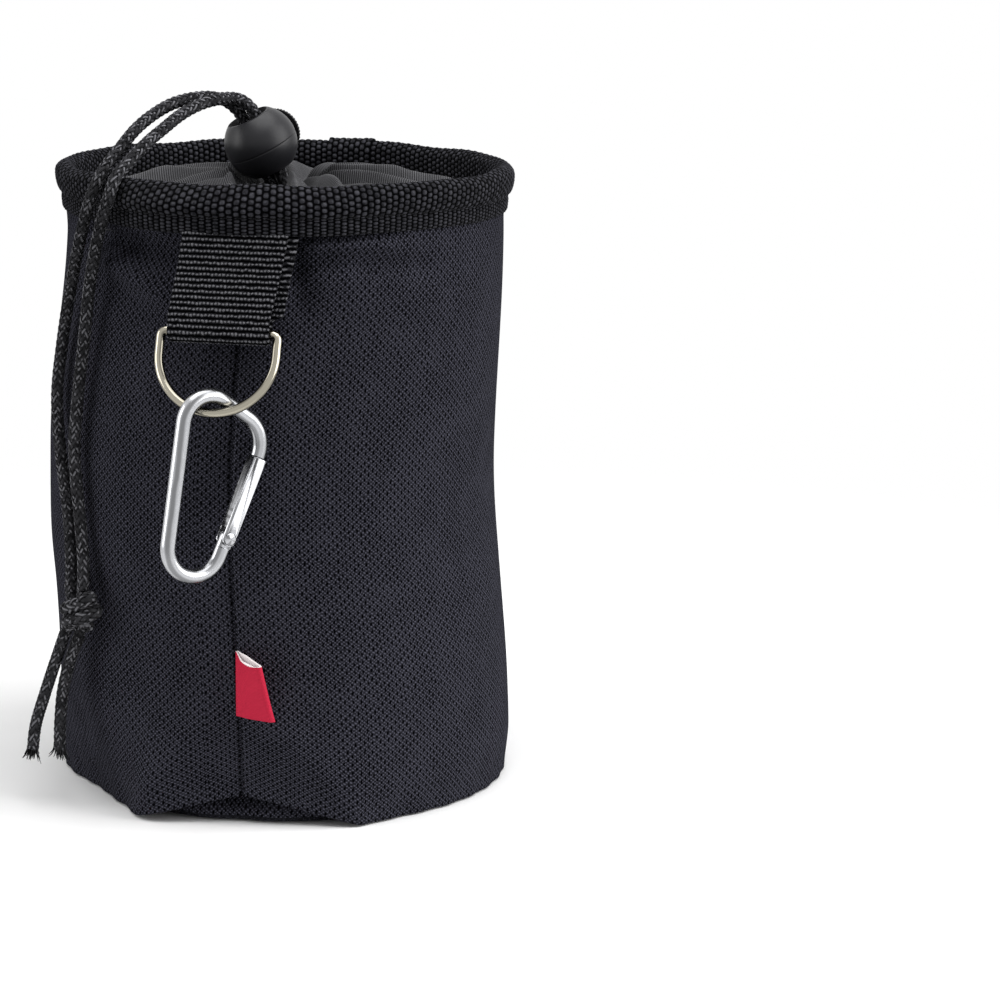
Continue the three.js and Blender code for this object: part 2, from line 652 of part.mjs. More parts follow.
// The rod's line in the carabiner's plane, from the hinge round the heel, spine and basket to the nose
function carabinerLine() {
  const slope = degToRad(TOP_SLOPE_DEG);
  const gate = degToRad(GATE_SLOPE_DEG);
  const gateUp = new THREE.Vector2(Math.cos(gate), Math.sin(gate));
  const gateOut = new THREE.Vector2(gateUp.y, -gateUp.x);
  const barEnd = new THREE.Vector2(
    BASKET_RADIUS * Math.sin(slope) + TOP_BAR * Math.cos(slope),
    -BASKET_RADIUS * (1 - Math.cos(slope)) - TOP_BAR * Math.sin(slope),
  );
  const barIn = new THREE.Vector2(-Math.sin(slope), -Math.cos(slope));
  const noseCentre = barEnd.clone().addScaledVector(barIn, NOSE_BEND);
  const bendEnd = noseCentre.clone().addScaledVector(gateOut, NOSE_BEND);
  const gateRun = (bendEnd.y + CARABINER_HEIGHT - HEEL_BEND * (1 - gateUp.x)) / gateUp.y;
  const heelStart = bendEnd.clone().addScaledVector(gateUp, -gateRun);
  const heelCentre = heelStart.clone().addScaledVector(gateOut, -HEEL_BEND);
  const spineBend = heelCentre.x + BASKET_RADIUS;
  const rivet = heelStart.clone().addScaledVector(gateUp, HINGE_TO_HEEL);
  const start = rivet.clone().addScaledVector(gateUp, ROD / 2);
  const noseEnd = bendEnd.clone().addScaledVector(gateUp, -NOSE_LENGTH);
  const path = new THREE.Path();
  path.moveTo(start.x, start.y);
  path.lineTo(heelStart.x, heelStart.y);
  path.absarc(heelCentre.x, heelCentre.y, HEEL_BEND, gate - Math.PI / 2, -Math.PI / 2, true);
  path.absarc(heelCentre.x, -CARABINER_HEIGHT + spineBend, spineBend, -Math.PI / 2, -Math.PI, true);
  path.lineTo(-BASKET_RADIUS, -BASKET_RADIUS);
  path.absarc(0, -BASKET_RADIUS, BASKET_RADIUS, Math.PI, Math.PI / 2 - slope, true);
  path.lineTo(barEnd.x, barEnd.y);
  path.absarc(noseCentre.x, noseCentre.y, NOSE_BEND, Math.PI / 2 - slope, gate - Math.PI / 2, true);
  path.lineTo(noseEnd.x, noseEnd.y);
  const gateLength = rivet.distanceTo(noseEnd) + NOSE_LENGTH - FIT;
  return { path, rivet, gateLength };
}

// Cutters in the gate's own frame: rivet at the origin, Z along the gate, X away from the spine
function inGateFrame(geometry, rivet) {
  return geometry.rotateY(degToRad(90 - GATE_SLOPE_DEG)).translate(rivet.x, 0, rivet.y);
}

function rivetHole() {
  const radius = RIVET / 2 + RIVET_FIT;
  return new THREE.CylinderGeometry(radius, radius, 2 * ROD, 2 * SPRING_SIDES);
}

function carabinerBody({ path, rivet, gateLength }) {
  const rod = ROD / 2;
  const sideCut = (side, low, high) => box(
    new THREE.Vector3(-ROD, side > 0 ? GATE_TANG / 2 : -ROD, low),
    new THREE.Vector3(ROD, side > 0 ? ROD : -GATE_TANG / 2, high),
  );
  const noseLow = gateLength - NOSE_LENGTH;
  const webRoom = GATE_SHEET + FIT;
  const noseCut = box(
    new THREE.Vector3(-ROD, -ROD, noseLow - FIT),
    new THREE.Vector3(-rod + webRoom, ROD, gateLength + FIT),
  );
  const roundEnd = new THREE.CylinderGeometry(rod, rod, 2 * ROD, SMALL_FACETS);
  const squareEnd = box(new THREE.Vector3(-ROD, -ROD, 0), new THREE.Vector3(ROD, ROD, ROD));
  const corners = solid(inGateFrame(squareEnd, rivet)).subtract(solid(inGateFrame(roundEnd, rivet)));
  let body = solid(tube(new UprightPath(path), ROD, ROD_SIDES, ROD_STEPS)).subtract(corners);
  const tangLow = -rod - 2 * FIT;
  const cutters = [
    sideCut(1, tangLow, ROD), sideCut(-1, tangLow, ROD),
    sideCut(1, noseLow - FIT, gateLength + FIT), sideCut(-1, noseLow - FIT, gateLength + FIT),
    noseCut, rivetHole(),
  ];
  for (const cutter of cutters) body = body.subtract(solid(inGateFrame(cutter, rivet)));
  return piece('carabiner_body', fromSolid(body), 'aluminium');
}

function carabinerGate({ gateLength }) {
  const rod = ROD / 2;
  const gap = GATE_TANG / 2 + FIT;
  const half = gap + GATE_SHEET;
  const lip = rod - FIT;
  const channel = new THREE.Shape();
  channel.moveTo(lip, half);
  channel.lineTo(-rod + GATE_SHEET, half);
  channel.absarc(-rod + GATE_SHEET, half - GATE_SHEET, GATE_SHEET, Math.PI / 2, Math.PI);
  channel.absarc(-rod + GATE_SHEET, -half + GATE_SHEET, GATE_SHEET, Math.PI, 1.5 * Math.PI);
  channel.lineTo(lip, -half);
  channel.lineTo(lip, -gap);
  channel.lineTo(-rod + GATE_SHEET, -gap);
  channel.lineTo(-rod + GATE_SHEET, gap);
  channel.lineTo(lip, gap);
  const bar = new THREE.ExtrudeGeometry(channel, {
    depth: gateLength + rod,
    bevelEnabled: false,
    curveSegments: BEND_FACETS,
  });
  bar.translate(0, 0, -rod);
  const side = new THREE.Shape();
  side.moveTo(rod, 0);
  side.lineTo(rod, gateLength);
  side.lineTo(-rod, gateLength);
  side.lineTo(-rod, 0);
  side.absarc(0, 0, rod, Math.PI, 2 * Math.PI);
  const outline = plate(side, 2 * ROD);
  const webOff = box(new THREE.Vector3(-ROD, -gap, -ROD), new THREE.Vector3(0, gap, rod + 2 * FIT));
  const folded = solid(bar).intersect(solid(outline)).subtract(solid(webOff)).subtract(solid(rivetHole()));
  return piece('carabiner_gate', fromSolid(folded), 'aluminium');
}

function carabinerRivet() {
  const head = GATE_TANG / 2 + FIT + GATE_SHEET + RIVET_FIT;
  const top = head + RIVET_HEAD_HEIGHT;
  const profile = new THREE.Path();
  profile.moveTo(0, -top);
  profile.quadraticCurveTo(RIVET_HEAD / 2, -top, RIVET_HEAD / 2, -head);
  profile.lineTo(RIVET / 2, -head);
  profile.lineTo(RIVET / 2, head);
  profile.lineTo(RIVET_HEAD / 2, head);
  profile.quadraticCurveTo(RIVET_HEAD / 2, top, 0, top);
  const turnedPin = new THREE.LatheGeometry(profile.getPoints(BEND_FACETS), 2 * SPRING_SIDES);
  return piece('carabiner_rivet', turnedPin, 'aluminium');
}

function gateSpring() {
  const web = -ROD / 2 + GATE_SHEET + FIT + GATE_SPRING_WIRE / 2;
  const foot = ROD / 2 + 2 * FIT + GATE_SPRING_WIRE / 2;
  const line = new THREE.CatmullRomCurve3([
    new THREE.Vector3(ROD / 4, 0, foot),
    new THREE.Vector3(web, 0, 2 * foot),
    new THREE.Vector3(web, 0, GATE_SPRING_REACH),
  ]);
  const wire = tube(line, GATE_SPRING_WIRE, SPRING_SIDES, GATE_SPRING_STEPS);
  return piece('carabiner_gate_spring', wire, 'steel');
}

function carabiner() {
  const line = carabinerLine();
  const hinge = new THREE.Group();
  hinge.position.set(line.rivet.x, 0, line.rivet.y);
  hinge.rotation.y = degToRad(90 - GATE_SLOPE_DEG);
  hinge.add(carabinerGate(line), carabinerRivet(), gateSpring());
  const group = new THREE.Group();
  group.add(carabinerBody(line), hinge);
  return group;
}

// Strap, ring and carabiner hang from each other, each in its own frame
function hangingSet(hingeHeight) {
  const strap = new THREE.Group();
  strap.position.set(0, -(strapSeat() + STRAP + STRAP_STANDOFF), hingeHeight);
  strap.rotation.set(degToRad(-STRAP_LEAN_DEG), degToRad(STRAP_SKEW_DEG), degToRad(STRAP_TWIST_DEG), 'ZYX');
  strap.add(webbingLoop());
  const ringGroup = new THREE.Group();
  ringGroup.position.set(-STRAP_DRIFT, 0, -STRAP_DROP);
  ringGroup.rotation.x = degToRad(-RING_TILT_DEG);
  ringGroup.add(dRing());
  strap.add(ringGroup);
  const hook = carabiner();
  hook.position.set(LINK_ASIDE, 0, RING_WIRE / 2 + ROD / 2 + LINK_SLACK);
  const swing = new THREE.Group();
  swing.position.z = -RING_DEPTH;
  const upright = degToRad(RING_TILT_DEG + STRAP_LEAN_DEG);
  swing.rotation.set(upright, degToRad(CARABINER_ROLL_DEG), degToRad(CARABINER_YAW_DEG), 'XZY');
  swing.add(hook);
  ringGroup.add(swing);
  return strap;
}

// Folded tape: out from the seam, round the fold and back, open at both ends
function sideTab() {
  const middle = TAB_LOW + TAB_HEIGHT / 2;
  const root = new THREE.Vector3(0, -wallRadius(middle), middle);
  hang(root);
  const bend = (TAB_GAP + TAB_CLOTH) / 2;
  const path = new THREE.Path();
  path.moveTo(0, -bend);
  path.lineTo(TAB_REACH - bend, -bend);
  path.absarc(TAB_REACH - bend, 0, bend, -Math.PI / 2, Math.PI / 2);
  path.lineTo(0, bend);
  const outline = new THREE.Shape(strip(path.getPoints(BEND_FACETS), TAB_CLOTH));
  const folded = new THREE.ExtrudeGeometry(outline, { depth: TAB_HEIGHT, bevelEnabled: false });
  const tab = piece('side_tab', folded, 'tab');
  tab.position.set(root.x, root.y - bend - TAB_CLOTH, TAB_LOW);
  tab.rotation.z = degToRad(-TAB_LIFT_DEG);
  return tab;
}

const pegBag = new THREE.Group();
const skewRoom = STRAP_WIDTH / 2 * Math.tan(degToRad(STRAP_SKEW_DEG));
const strapHinge = BINDING_LOW - FIT - STRAP_STACK / 2 - skewRoom;
pegBag.add(bagWall(), basePanel(), rimBinding(), closureCollar());
pegBag.add(...drawcord(), drawcordKnot(), cordLock());
pegBag.add(webbingAnchor(strapHinge), hangingSet(strapHinge), sideTab());

export default pegBag;
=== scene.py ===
# %% [markdown]
# # A drawstring peg bag, dressed over its CAD frame
# The packed model is loaded first and stays where it is. Cloth, tape, cord and metal are then made as
# their own meshes in the same frame, each in the place of its CAD solid. Sizes are in millimetres, as
# in the part's source, and become metres when a mesh is made.

import bmesh
import bpy
import numpy as np
from mathutils import Matrix, Vector


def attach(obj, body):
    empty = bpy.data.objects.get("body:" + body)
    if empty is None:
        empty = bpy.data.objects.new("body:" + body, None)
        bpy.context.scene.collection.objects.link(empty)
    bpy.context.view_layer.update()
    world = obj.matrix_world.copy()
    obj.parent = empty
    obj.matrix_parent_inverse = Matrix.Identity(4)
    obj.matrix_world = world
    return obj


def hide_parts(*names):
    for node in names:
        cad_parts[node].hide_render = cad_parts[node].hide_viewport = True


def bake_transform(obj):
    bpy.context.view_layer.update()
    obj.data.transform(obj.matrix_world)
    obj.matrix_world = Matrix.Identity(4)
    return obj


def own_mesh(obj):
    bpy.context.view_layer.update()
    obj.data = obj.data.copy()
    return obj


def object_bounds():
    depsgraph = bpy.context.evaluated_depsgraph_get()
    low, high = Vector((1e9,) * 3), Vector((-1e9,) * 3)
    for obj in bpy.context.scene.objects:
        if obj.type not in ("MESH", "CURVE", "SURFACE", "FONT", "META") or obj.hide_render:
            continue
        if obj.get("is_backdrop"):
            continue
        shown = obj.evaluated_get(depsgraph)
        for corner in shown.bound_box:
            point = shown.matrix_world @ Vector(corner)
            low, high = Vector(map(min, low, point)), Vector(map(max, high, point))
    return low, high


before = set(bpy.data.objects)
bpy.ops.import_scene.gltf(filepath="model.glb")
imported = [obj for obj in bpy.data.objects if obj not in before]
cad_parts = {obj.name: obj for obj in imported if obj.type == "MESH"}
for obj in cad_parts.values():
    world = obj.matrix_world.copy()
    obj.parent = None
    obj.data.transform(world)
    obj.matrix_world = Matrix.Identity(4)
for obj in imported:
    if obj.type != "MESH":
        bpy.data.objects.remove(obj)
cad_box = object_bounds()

MM = 0.001

# %% [markdown]
# ## Camera
# The picture was taken from a little above the rim and a little to the right of the front seam, from
# about 0.85 m, with a long lens, so the rim's ellipse is shallow and the sides hardly converge. The
# camera could be aimed with a constraint, but three plain turns are easier to read and to correct.

# %% Camera
CAMERA_AZIMUTH, CAMERA_DISTANCE, CAMERA_HEIGHT = 12.0, 830.0, 243.0
CAMERA_TURN, CAMERA_PITCH, CAMERA_ROLL = 8.25, 11.82, 0.8
CAMERA_LENS, CAMERA_SENSOR = 120.24, 36.0


def turn(degrees, axis):
    return Matrix.Rotation(np.radians(degrees), 4, axis)


def added(name, data):
    """A new object in the scene that shows a mesh, a lamp or a camera."""
    made = bpy.data.objects.new(name, data)
    bpy.context.collection.objects.link(made)
    return made


stand = np.radians(CAMERA_AZIMUTH)
camera_place = Vector((np.sin(stand) * CAMERA_DISTANCE, -np.cos(stand) * CAMERA_DISTANCE, CAMERA_HEIGHT))
camera = added("camera", bpy.data.cameras.new("camera"))
camera.data.lens, camera.data.sensor_width = CAMERA_LENS, CAMERA_SENSOR
camera.matrix_world = (
    Matrix.Translation(camera_place * MM)
    @ turn(CAMERA_TURN, "Z") @ turn(90 - CAMERA_PITCH, "X") @ turn(CAMERA_ROLL, "Z")
)
bpy.context.scene.camera = camera
print("camera at", [round(v, 4) for v in camera.location])

# %% [markdown]
# ## From points to pieces
# Nearly every piece here is a grid of points: rows along a section or a cord, columns round it. Curves with
# a bevel would be quicker to set up, but a grid can hold a weave or a pleat in its own points. One helper
# turns grids into quads, keeps a map of the thread directions in millimetres for the finishes, and makes
# the object, which rides on a CAD body and hides the nodes that it stands for.

# %% Soft steps and bumps
def smoothstep(value, low, high):
    share = np.clip((value - low) / (high - low), 0, 1)
    return share * share * (3 - 2 * share)


def bell(distance, half_width):
    return np.exp(-((distance / half_width) ** 2))


print("a soft step, a quarter of the way along:", smoothstep(0.25, 0, 1))

# %% Grids and pieces
THREAD_MAP = "threads"


class Mesh:
    """Points, faces and thread coordinates gathered from several grids."""

    def __init__(self):
        self.points, self.faces, self.threads, self.count = [], [], [], 0

    def grid(self, points, threads, closed_rows=False, closed_columns=False, caps=False):
        rows, columns = points.shape[:2]
        row, column = np.meshgrid(
            np.arange(rows if closed_rows else rows - 1),
            np.arange(columns if closed_columns else columns - 1),
            indexing="ij",
        )
        corner_rows = np.stack([row, row, row + 1, row + 1], -1).reshape(-1, 4)
        corner_columns = np.stack([column, column + 1, column + 1, column], -1).reshape(-1, 4)
        quads = (corner_rows % rows) * columns + corner_columns % columns
        self.faces += (quads + self.count).tolist()
        self.threads.append(threads[corner_rows, corner_columns].reshape(-1, 2))
        if caps:
            for ends in (np.arange(columns)[::-1], np.arange(columns) + (rows - 1) * columns):
                self.faces.append((ends + self.count).tolist())
                self.threads.append(np.zeros((columns, 2)))
        self.points.append(points.reshape(-1, 3))
        self.count += rows * columns
        return self

    def blank(self, name, matrix=None, smooth=False):
        """The grids as one object, moved by a matrix, to be cut or to become a piece."""
        points = np.concatenate(self.points)
        if matrix is not None:
            points = placed(matrix, points)
        data = bpy.data.meshes.new(name)
        data.from_pydata((points * MM).tolist(), [], self.faces)
        layer = data.uv_layers.new(name=THREAD_MAP)
        layer.uv.foreach_set("vector", np.concatenate(self.threads).astype(np.float32).ravel())
        shaped = bmesh.new()
        shaped.from_mesh(data)
        bmesh.ops.recalc_face_normals(shaped, faces=shaped.faces)
        for face in shaped.faces:
            face.smooth = smooth
        shaped.to_mesh(data)
        shaped.free()
        return added(name, data)

    def piece(self, name, body, slot, *nodes, bends=None):
        return settle(self.blank(name, smooth=True), body, slot, *nodes, bends=bends)


def settle(made, body, slot, *nodes, bends=None):
    """Puts a piece on its body and hides the nodes that it stands for; its slot is not used."""
    if bends:
        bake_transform(made)
    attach(made, body)
    if nodes:
        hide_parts(*nodes)
    print(f"{made.name}: {len(made.data.vertices)} points")
    return made


print("thread map:", THREAD_MAP)

# %% Paths and the frames along them
def thread_grid(along, across):
    """Thread coordinates where rows step along and columns step across, both in millimetres."""
    return np.stack(np.meshgrid(along, across, indexing="ij"), -1)


def distances(path):
    return np.concatenate([[0], np.cumsum(np.linalg.norm(np.diff(path, axis=0), axis=1))])


def unit(vectors):
    return vectors / np.linalg.norm(vectors, axis=-1, keepdims=True)


def even_steps(path, step):
    far = distances(path)
    stops = np.linspace(0, far[-1], max(int(round(far[-1] / step)), 2) + 1)
    return np.stack([np.interp(stops, far, path[:, i]) for i in range(3)], 1)


def carried_frames(path):
    """Two directions square to a path, carried along it without twist."""
    tangents = unit(np.gradient(path, axis=0))
    least = np.eye(3)[np.abs(tangents[0]).argmin()]
    side = unit(np.cross(tangents[0], least))
    sides = []
    for tangent in tangents:
        side = unit(side - tangent * (side @ tangent))
        sides.append(side)
    sides = np.array(sides)
    return tangents, sides, np.cross(tangents, sides)


def placed(matrix, points):
    return points @ np.array(matrix.to_3x3()).T + np.array(matrix.translation)


print("a quarter turn about Z takes X to", placed(turn(90, "Z"), np.eye(3)[:1]).round(3))

# %% [markdown]
# ## Drawcord
# The cord is a limp round braid about 3.2 mm thick. Both tails leave the ball lock together, hump over
# the left of the rim, lie down the wall and meet in an overhand knot, below which two cut ends hang. The
# routes repeat the part's source, where they are shares of the bag's radius and height. A curve with a
# round bevel would give a smooth rope, so the yarns are laid one by one instead: sixteen carriers, half of
# them each way, each passing over two and under two, which is what makes the rows of chevrons.

# %% Cord routes
BAG_HEIGHT, BAG_RADIUS = 155.0, 56.2
TAIL_SIDE_DEG = 192.0
CORD, CORD_FIT = 3.2, 0.3
CORD_ASIDE = (CORD + CORD_FIT) / 2
CURVE_STEPS = 24
LOCK_FLAT, LOCK_LEAN_DEG, LOCK_TURN_DEG = 7.2, 23.0, -14.0
LOCK_CENTRE = Vector((-5.1, -5.6, BAG_HEIGHT + 4.8))
TAIL_OUTER_ROUTE = [
    (-0.1922, -0.1174, 1.0819), (-0.2349, -0.1495, 1.0968), (-0.2865, -0.2064, 1.1045),
    (-0.3594, -0.3167, 1.1045), (-0.4181, -0.4075, 1.0981), (-0.4698, -0.5053, 1.0852),
    (-0.5196, -0.621, 1.0652), (-0.5676, -0.7295, 1.0355), (-0.6139, -0.8114, 1.0065),
    (-0.6512, -0.8452, 0.9729), (-0.6922, -0.8149, 0.9329), (-0.7829, -0.694, 0.8355),
    (-0.8541, -0.6139, 0.729), (-0.8808, -0.6139, 0.6419), (-0.8505, -0.6762, 0.5581),
    (-0.8043, -0.7331, 0.4677), (-0.7829, -0.7722, 0.3903), (-0.774, -0.8185, 0.3445),
]
TAIL_INNER_ROUTE = [
    (-0.1299, -0.1313, 1.0874), (-0.1665, -0.1701, 1.1005), (-0.2028, -0.2224, 1.1045),
    (-0.2651, -0.347, 1.1026), (-0.3096, -0.4146, 1.0961), (-0.3541, -0.4911, 1.0852),
    (-0.4021, -0.5996, 1.0671), (-0.4502, -0.71, 1.0477), (-0.4982, -0.8114, 1.0232),
    (-0.5391, -0.8861, 1), (-0.5641, -0.9075, 0.9703), (-0.605, -0.879, 0.9303),
    (-0.6762, -0.7972, 0.8387), (-0.7153, -0.7722, 0.7387), (-0.7473, -0.7616, 0.6516),
    (-0.7651, -0.7633, 0.5677), (-0.7384, -0.7936, 0.4742), (-0.7117, -0.8327, 0.3935),
    (-0.7064, -0.8683, 0.3523),
]
END_OUTER_ROUTE = [
    (-0.7918, -0.8327, 0.2858), (-0.8434, -0.831, 0.2323), (-0.8897, -0.8363, 0.1806),
    (-0.9324, -0.8399, 0.129), (-0.9466, -0.8416, 0.0903),
]
END_INNER_ROUTE = [
    (-0.726, -0.8541, 0.2813), (-0.7758, -0.8399, 0.2355), (-0.8114, -0.8256, 0.1871),
    (-0.8274, -0.8185, 0.1387), (-0.8327, -0.8185, 0.0903),
]
KNOT_PLACE = (-0.7295, -0.8719, 0.3194)

tail_side = Vector((1, 0, 0))
tail_side.rotate(turn(TAIL_SIDE_DEG, "Z").to_euler())
lean_axis = Vector((0, 0, 1)).cross(tail_side)
lock_frame = (
    Matrix.Translation(LOCK_CENTRE)
    @ Matrix.Rotation(np.radians(LOCK_LEAN_DEG), 4, lean_axis) @ turn(LOCK_TURN_DEG, "Z")
)


def bag_place(shares):
    return np.array(shares) * (BAG_RADIUS, BAG_RADIUS, BAG_HEIGHT)


def lock_point(across, along):
    return np.array(lock_frame @ Vector((across, 0, along)))


def tail_points(side, route):
    stops = (-LOCK_FLAT - CORD / 2, 0, LOCK_FLAT - CORD / 2)
    inside_lock = [lock_point(side * CORD_ASIDE, along) for along in stops]
    return np.array(inside_lock + [bag_place(p) for p in route])


def through(points, step=0.2):
    """A centripetal Catmull-Rom line through the points, as the part's source draws it."""
    points = np.array(points, float)
    padded = np.vstack([2 * points[0] - points[1], points, 2 * points[-1] - points[-2]])
    line = []
    for p0, p1, p2, p3 in zip(padded, padded[1:], padded[2:], padded[3:]):
        d0, d1, d2 = (np.linalg.norm(b - a) ** 0.5 for a, b in ((p0, p1), (p1, p2), (p2, p3)))
        t1 = d1 * ((p1 - p0) / d0 - (p2 - p0) / (d0 + d1) + (p2 - p1) / d1)
        t2 = d1 * ((p2 - p1) / d1 - (p3 - p1) / (d1 + d2) + (p3 - p2) / d2)
        w = np.linspace(0, 1, CURVE_STEPS, endpoint=False)[:, None]
        line.append(
            p1 + t1 * w + (3 * (p2 - p1) - 2 * t1 - t2) * w ** 2 + (2 * (p1 - p2) + t1 + t2) * w ** 3
        )
    return even_steps(np.vstack(line + [points[-1:]]), step)


routes = {
    "drawcord_tail_outer": through(tail_points(-1, TAIL_OUTER_ROUTE)),
    "drawcord_tail_inner": through(tail_points(1, TAIL_INNER_ROUTE)),
    "drawcord_end_outer": through([bag_place(p) for p in END_OUTER_ROUTE]),
    "drawcord_end_inner": through([bag_place(p) for p in END_INNER_ROUTE]),
}
print({name: round(distances(route)[-1], 1) for name, route in routes.items()})

# %% Braided cord
CARRIERS_EACH_WAY = 8
BRAID_LEAD, LEAD_STEPS = 15.0, 32
YARN_WIDTH, YARN_THICK, YARN_RISE = 0.5, 0.34, 0.27
YARN_SIDES, CORE_SIDES = 6, 10


def full_turn(sides):
    return np.linspace(0, 2 * np.pi, sides, endpoint=False)


def spokes(first, second, angle):
    """Directions round a path: along first at angle 0 and along second a quarter turn on."""
    return first[:, None] * np.cos(angle)[None, :, None] + second[:, None] * np.sin(angle)[None, :, None]


def tube(mesh, path, radius, sides, threads_round=1.0):
    """Adds a round tube to a mesh; its radius may change along it."""
    _, side, up = carried_frames(path)
    radius = np.broadcast_to(radius, len(path))[:, None, None]
    points = path[:, None] + radius * spokes(side, up, full_turn(sides))
    across = np.linspace(0, threads_round, sides + 1)
    return mesh.grid(points, thread_grid(distances(path), across), False, True, caps=True)


def braid(mesh, route, diameter=CORD):
    """Lays the yarns of a round braid along a route, each over two and under two, round a core."""
    path = even_steps(route, BRAID_LEAD / LEAD_STEPS)
    _, side, up = carried_frames(path)
    along = distances(path)
    scale = diameter / CORD
    middle = CORD / 2 - YARN_THICK - YARN_RISE
    threads = thread_grid(along, np.linspace(0, 1, YARN_SIDES + 1))
    for way in (1, -1):
        for carrier in range(CARRIERS_EACH_WAY):
            angle = way * 2 * np.pi * along / BRAID_LEAD + 2 * np.pi * carrier / CARRIERS_EACH_WAY
            out = side * np.cos(angle)[:, None] + up * np.sin(angle)[:, None]
            rise = middle + way * YARN_RISE * np.cos(CARRIERS_EACH_WAY / 2 * angle - np.pi / 4)
            line = path + out * (scale * rise)[:, None]
            flat = unit(np.cross(unit(np.gradient(line, axis=0)), out))
            ring = spokes(out * YARN_THICK, flat * YARN_WIDTH, full_turn(YARN_SIDES))
            mesh.grid(line[:, None] + scale * ring, threads, False, True, caps=True)
    return tube(mesh, path, scale * (middle - YARN_RISE / 2), CORE_SIDES)


cords = {}
for name, route in routes.items():
    cords[name] = braid(Mesh(), route).piece(name.replace("drawcord", "cord"), "bag", "cord", name)

# %% [markdown]
# ### Knot, tufts and the turn in the hem
# The two cords are tied as one. From outside the knot shows two slanted wraps pulled tight over each
# other, so one braided coil of not quite two turns stands for it, drawn in at its ends, with both cords
# running through it. Each cut end has burst into a short brush of fibres: a handful of fine tapering
# tubes, from a seeded generator so that every run gives the same ones.

# %% Knot
KNOT_TURNS, KNOT_PITCH, KNOT_SLANT, KNOT_POINTS = 1.9, 3.5, 0.3, 200
KNOT_HALF_WIDTH, KNOT_HALF_DEPTH, KNOT_ASIDE = 4.2, 2.8, 1.5
KNOT_START_DEG = 80.0
KNOT_DRAW_IN, KNOT_DRAWN_SHARE = 0.45, 0.1
WRAP, RUN_THROUGH = 3.9, 0.9 * CORD

knot_centre = bag_place(KNOT_PLACE)
knot_facing = np.degrees(np.arctan2(knot_centre[0], -knot_centre[1]))
knot_frame = Matrix.Translation(Vector(knot_centre)) @ turn(knot_facing, "Z")
wind = np.linspace(0, 1, KNOT_POINTS)
wound = np.radians(KNOT_START_DEG) + 2 * np.pi * KNOT_TURNS * wind
from_end = np.minimum(wind, 1 - wind)
draw_in = 1 - KNOT_DRAW_IN * (1 - smoothstep(from_end, 0, KNOT_DRAWN_SHARE))
swing = KNOT_HALF_WIDTH * draw_in * np.cos(wound)
climb = KNOT_PITCH * KNOT_TURNS * (wind - 0.5) + KNOT_SLANT * swing
coil = np.stack([KNOT_ASIDE + swing, KNOT_HALF_DEPTH * draw_in * np.sin(wound), climb], 1)
knot = braid(Mesh(), placed(knot_frame, coil), WRAP)
for place in ("outer", "inner"):
    above, below = routes["drawcord_tail_" + place][-1], routes["drawcord_end_" + place][0]
    braid(knot, through([above, (above + below) / 4 + knot_centre / 2, below]), RUN_THROUGH)
knot_piece = knot.piece("cord_knot", "bag", "cord", "drawcord_knot")

# %% Frayed tips
FIBRES, FIBRE, FIBRE_LENGTH, FIBRE_LEAST, FIBRE_ROOT = 46, 0.17, 3.6, 0.55, 0.8
FIBRE_TAPER, FIBRE_SIDES = np.array([1, 1, 0.9, 0.7, 0.3]), 5
FRAY_RADIUS, FRAY_SPREAD, FRAY_STRAY, FRAY_BEND = 1.35, 0.42, 0.16, 0.6
fray = np.random.default_rng(7)
step = np.linspace(0, 1, len(FIBRE_TAPER))[:, None]
tufts = {}
for name in ("drawcord_end_outer", "drawcord_end_inner"):
    tip = routes[name][-1]
    tangent, side, up = (directions[-1] for directions in carried_frames(routes[name]))
    tuft = Mesh()
    for _ in range(FIBRES):
        angle, off = fray.uniform(0, 2 * np.pi), FRAY_RADIUS * np.sqrt(fray.uniform())
        out = side * np.cos(angle) + up * np.sin(angle)
        root = tip + out * off - tangent * FIBRE_ROOT
        reach = FIBRE_LENGTH * fray.uniform(FIBRE_LEAST, 1)
        sway = out * FRAY_SPREAD * off + fray.normal(0, FRAY_STRAY, 3)
        line = root + tangent * reach * step + sway * reach * step ** 2 * FRAY_BEND
        tube(tuft, line, FIBRE * FIBRE_TAPER, FIBRE_SIDES)
    tufts[name] = tuft.piece(name.replace("drawcord", "cord") + "_tuft", "bag", "cord")

# %% Turn of the cord in the hem
HEM_RADIUS, HEM_DROP = 5.2, 8.2
LOOP_START_DEG, LOOP_SWEEP_DEG, LOOP_POINTS = -50.0, 280.0, 7
hem_height = BAG_HEIGHT - HEM_DROP


def hem_circle(degrees):
    angle = np.radians(degrees)
    return np.array([HEM_RADIUS * np.cos(angle), HEM_RADIUS * np.sin(angle), hem_height])


def loop_end(side):
    start = -LOCK_FLAT - CORD / 2 - CORD_FIT
    return [lock_point(side * CORD_ASIDE, along) for along in (start, start - CORD / 2)]


turning = [hem_circle(LOOP_START_DEG + LOOP_SWEEP_DEG * i / (LOOP_POINTS - 1)) for i in range(LOOP_POINTS)]
loop_route = through(loop_end(1) + turning + loop_end(-1)[::-1])
loop_piece = braid(Mesh(), loop_route).piece("cord_turn", "bag", "cord", "drawcord_loop")


print("declared cords:", len(cords))
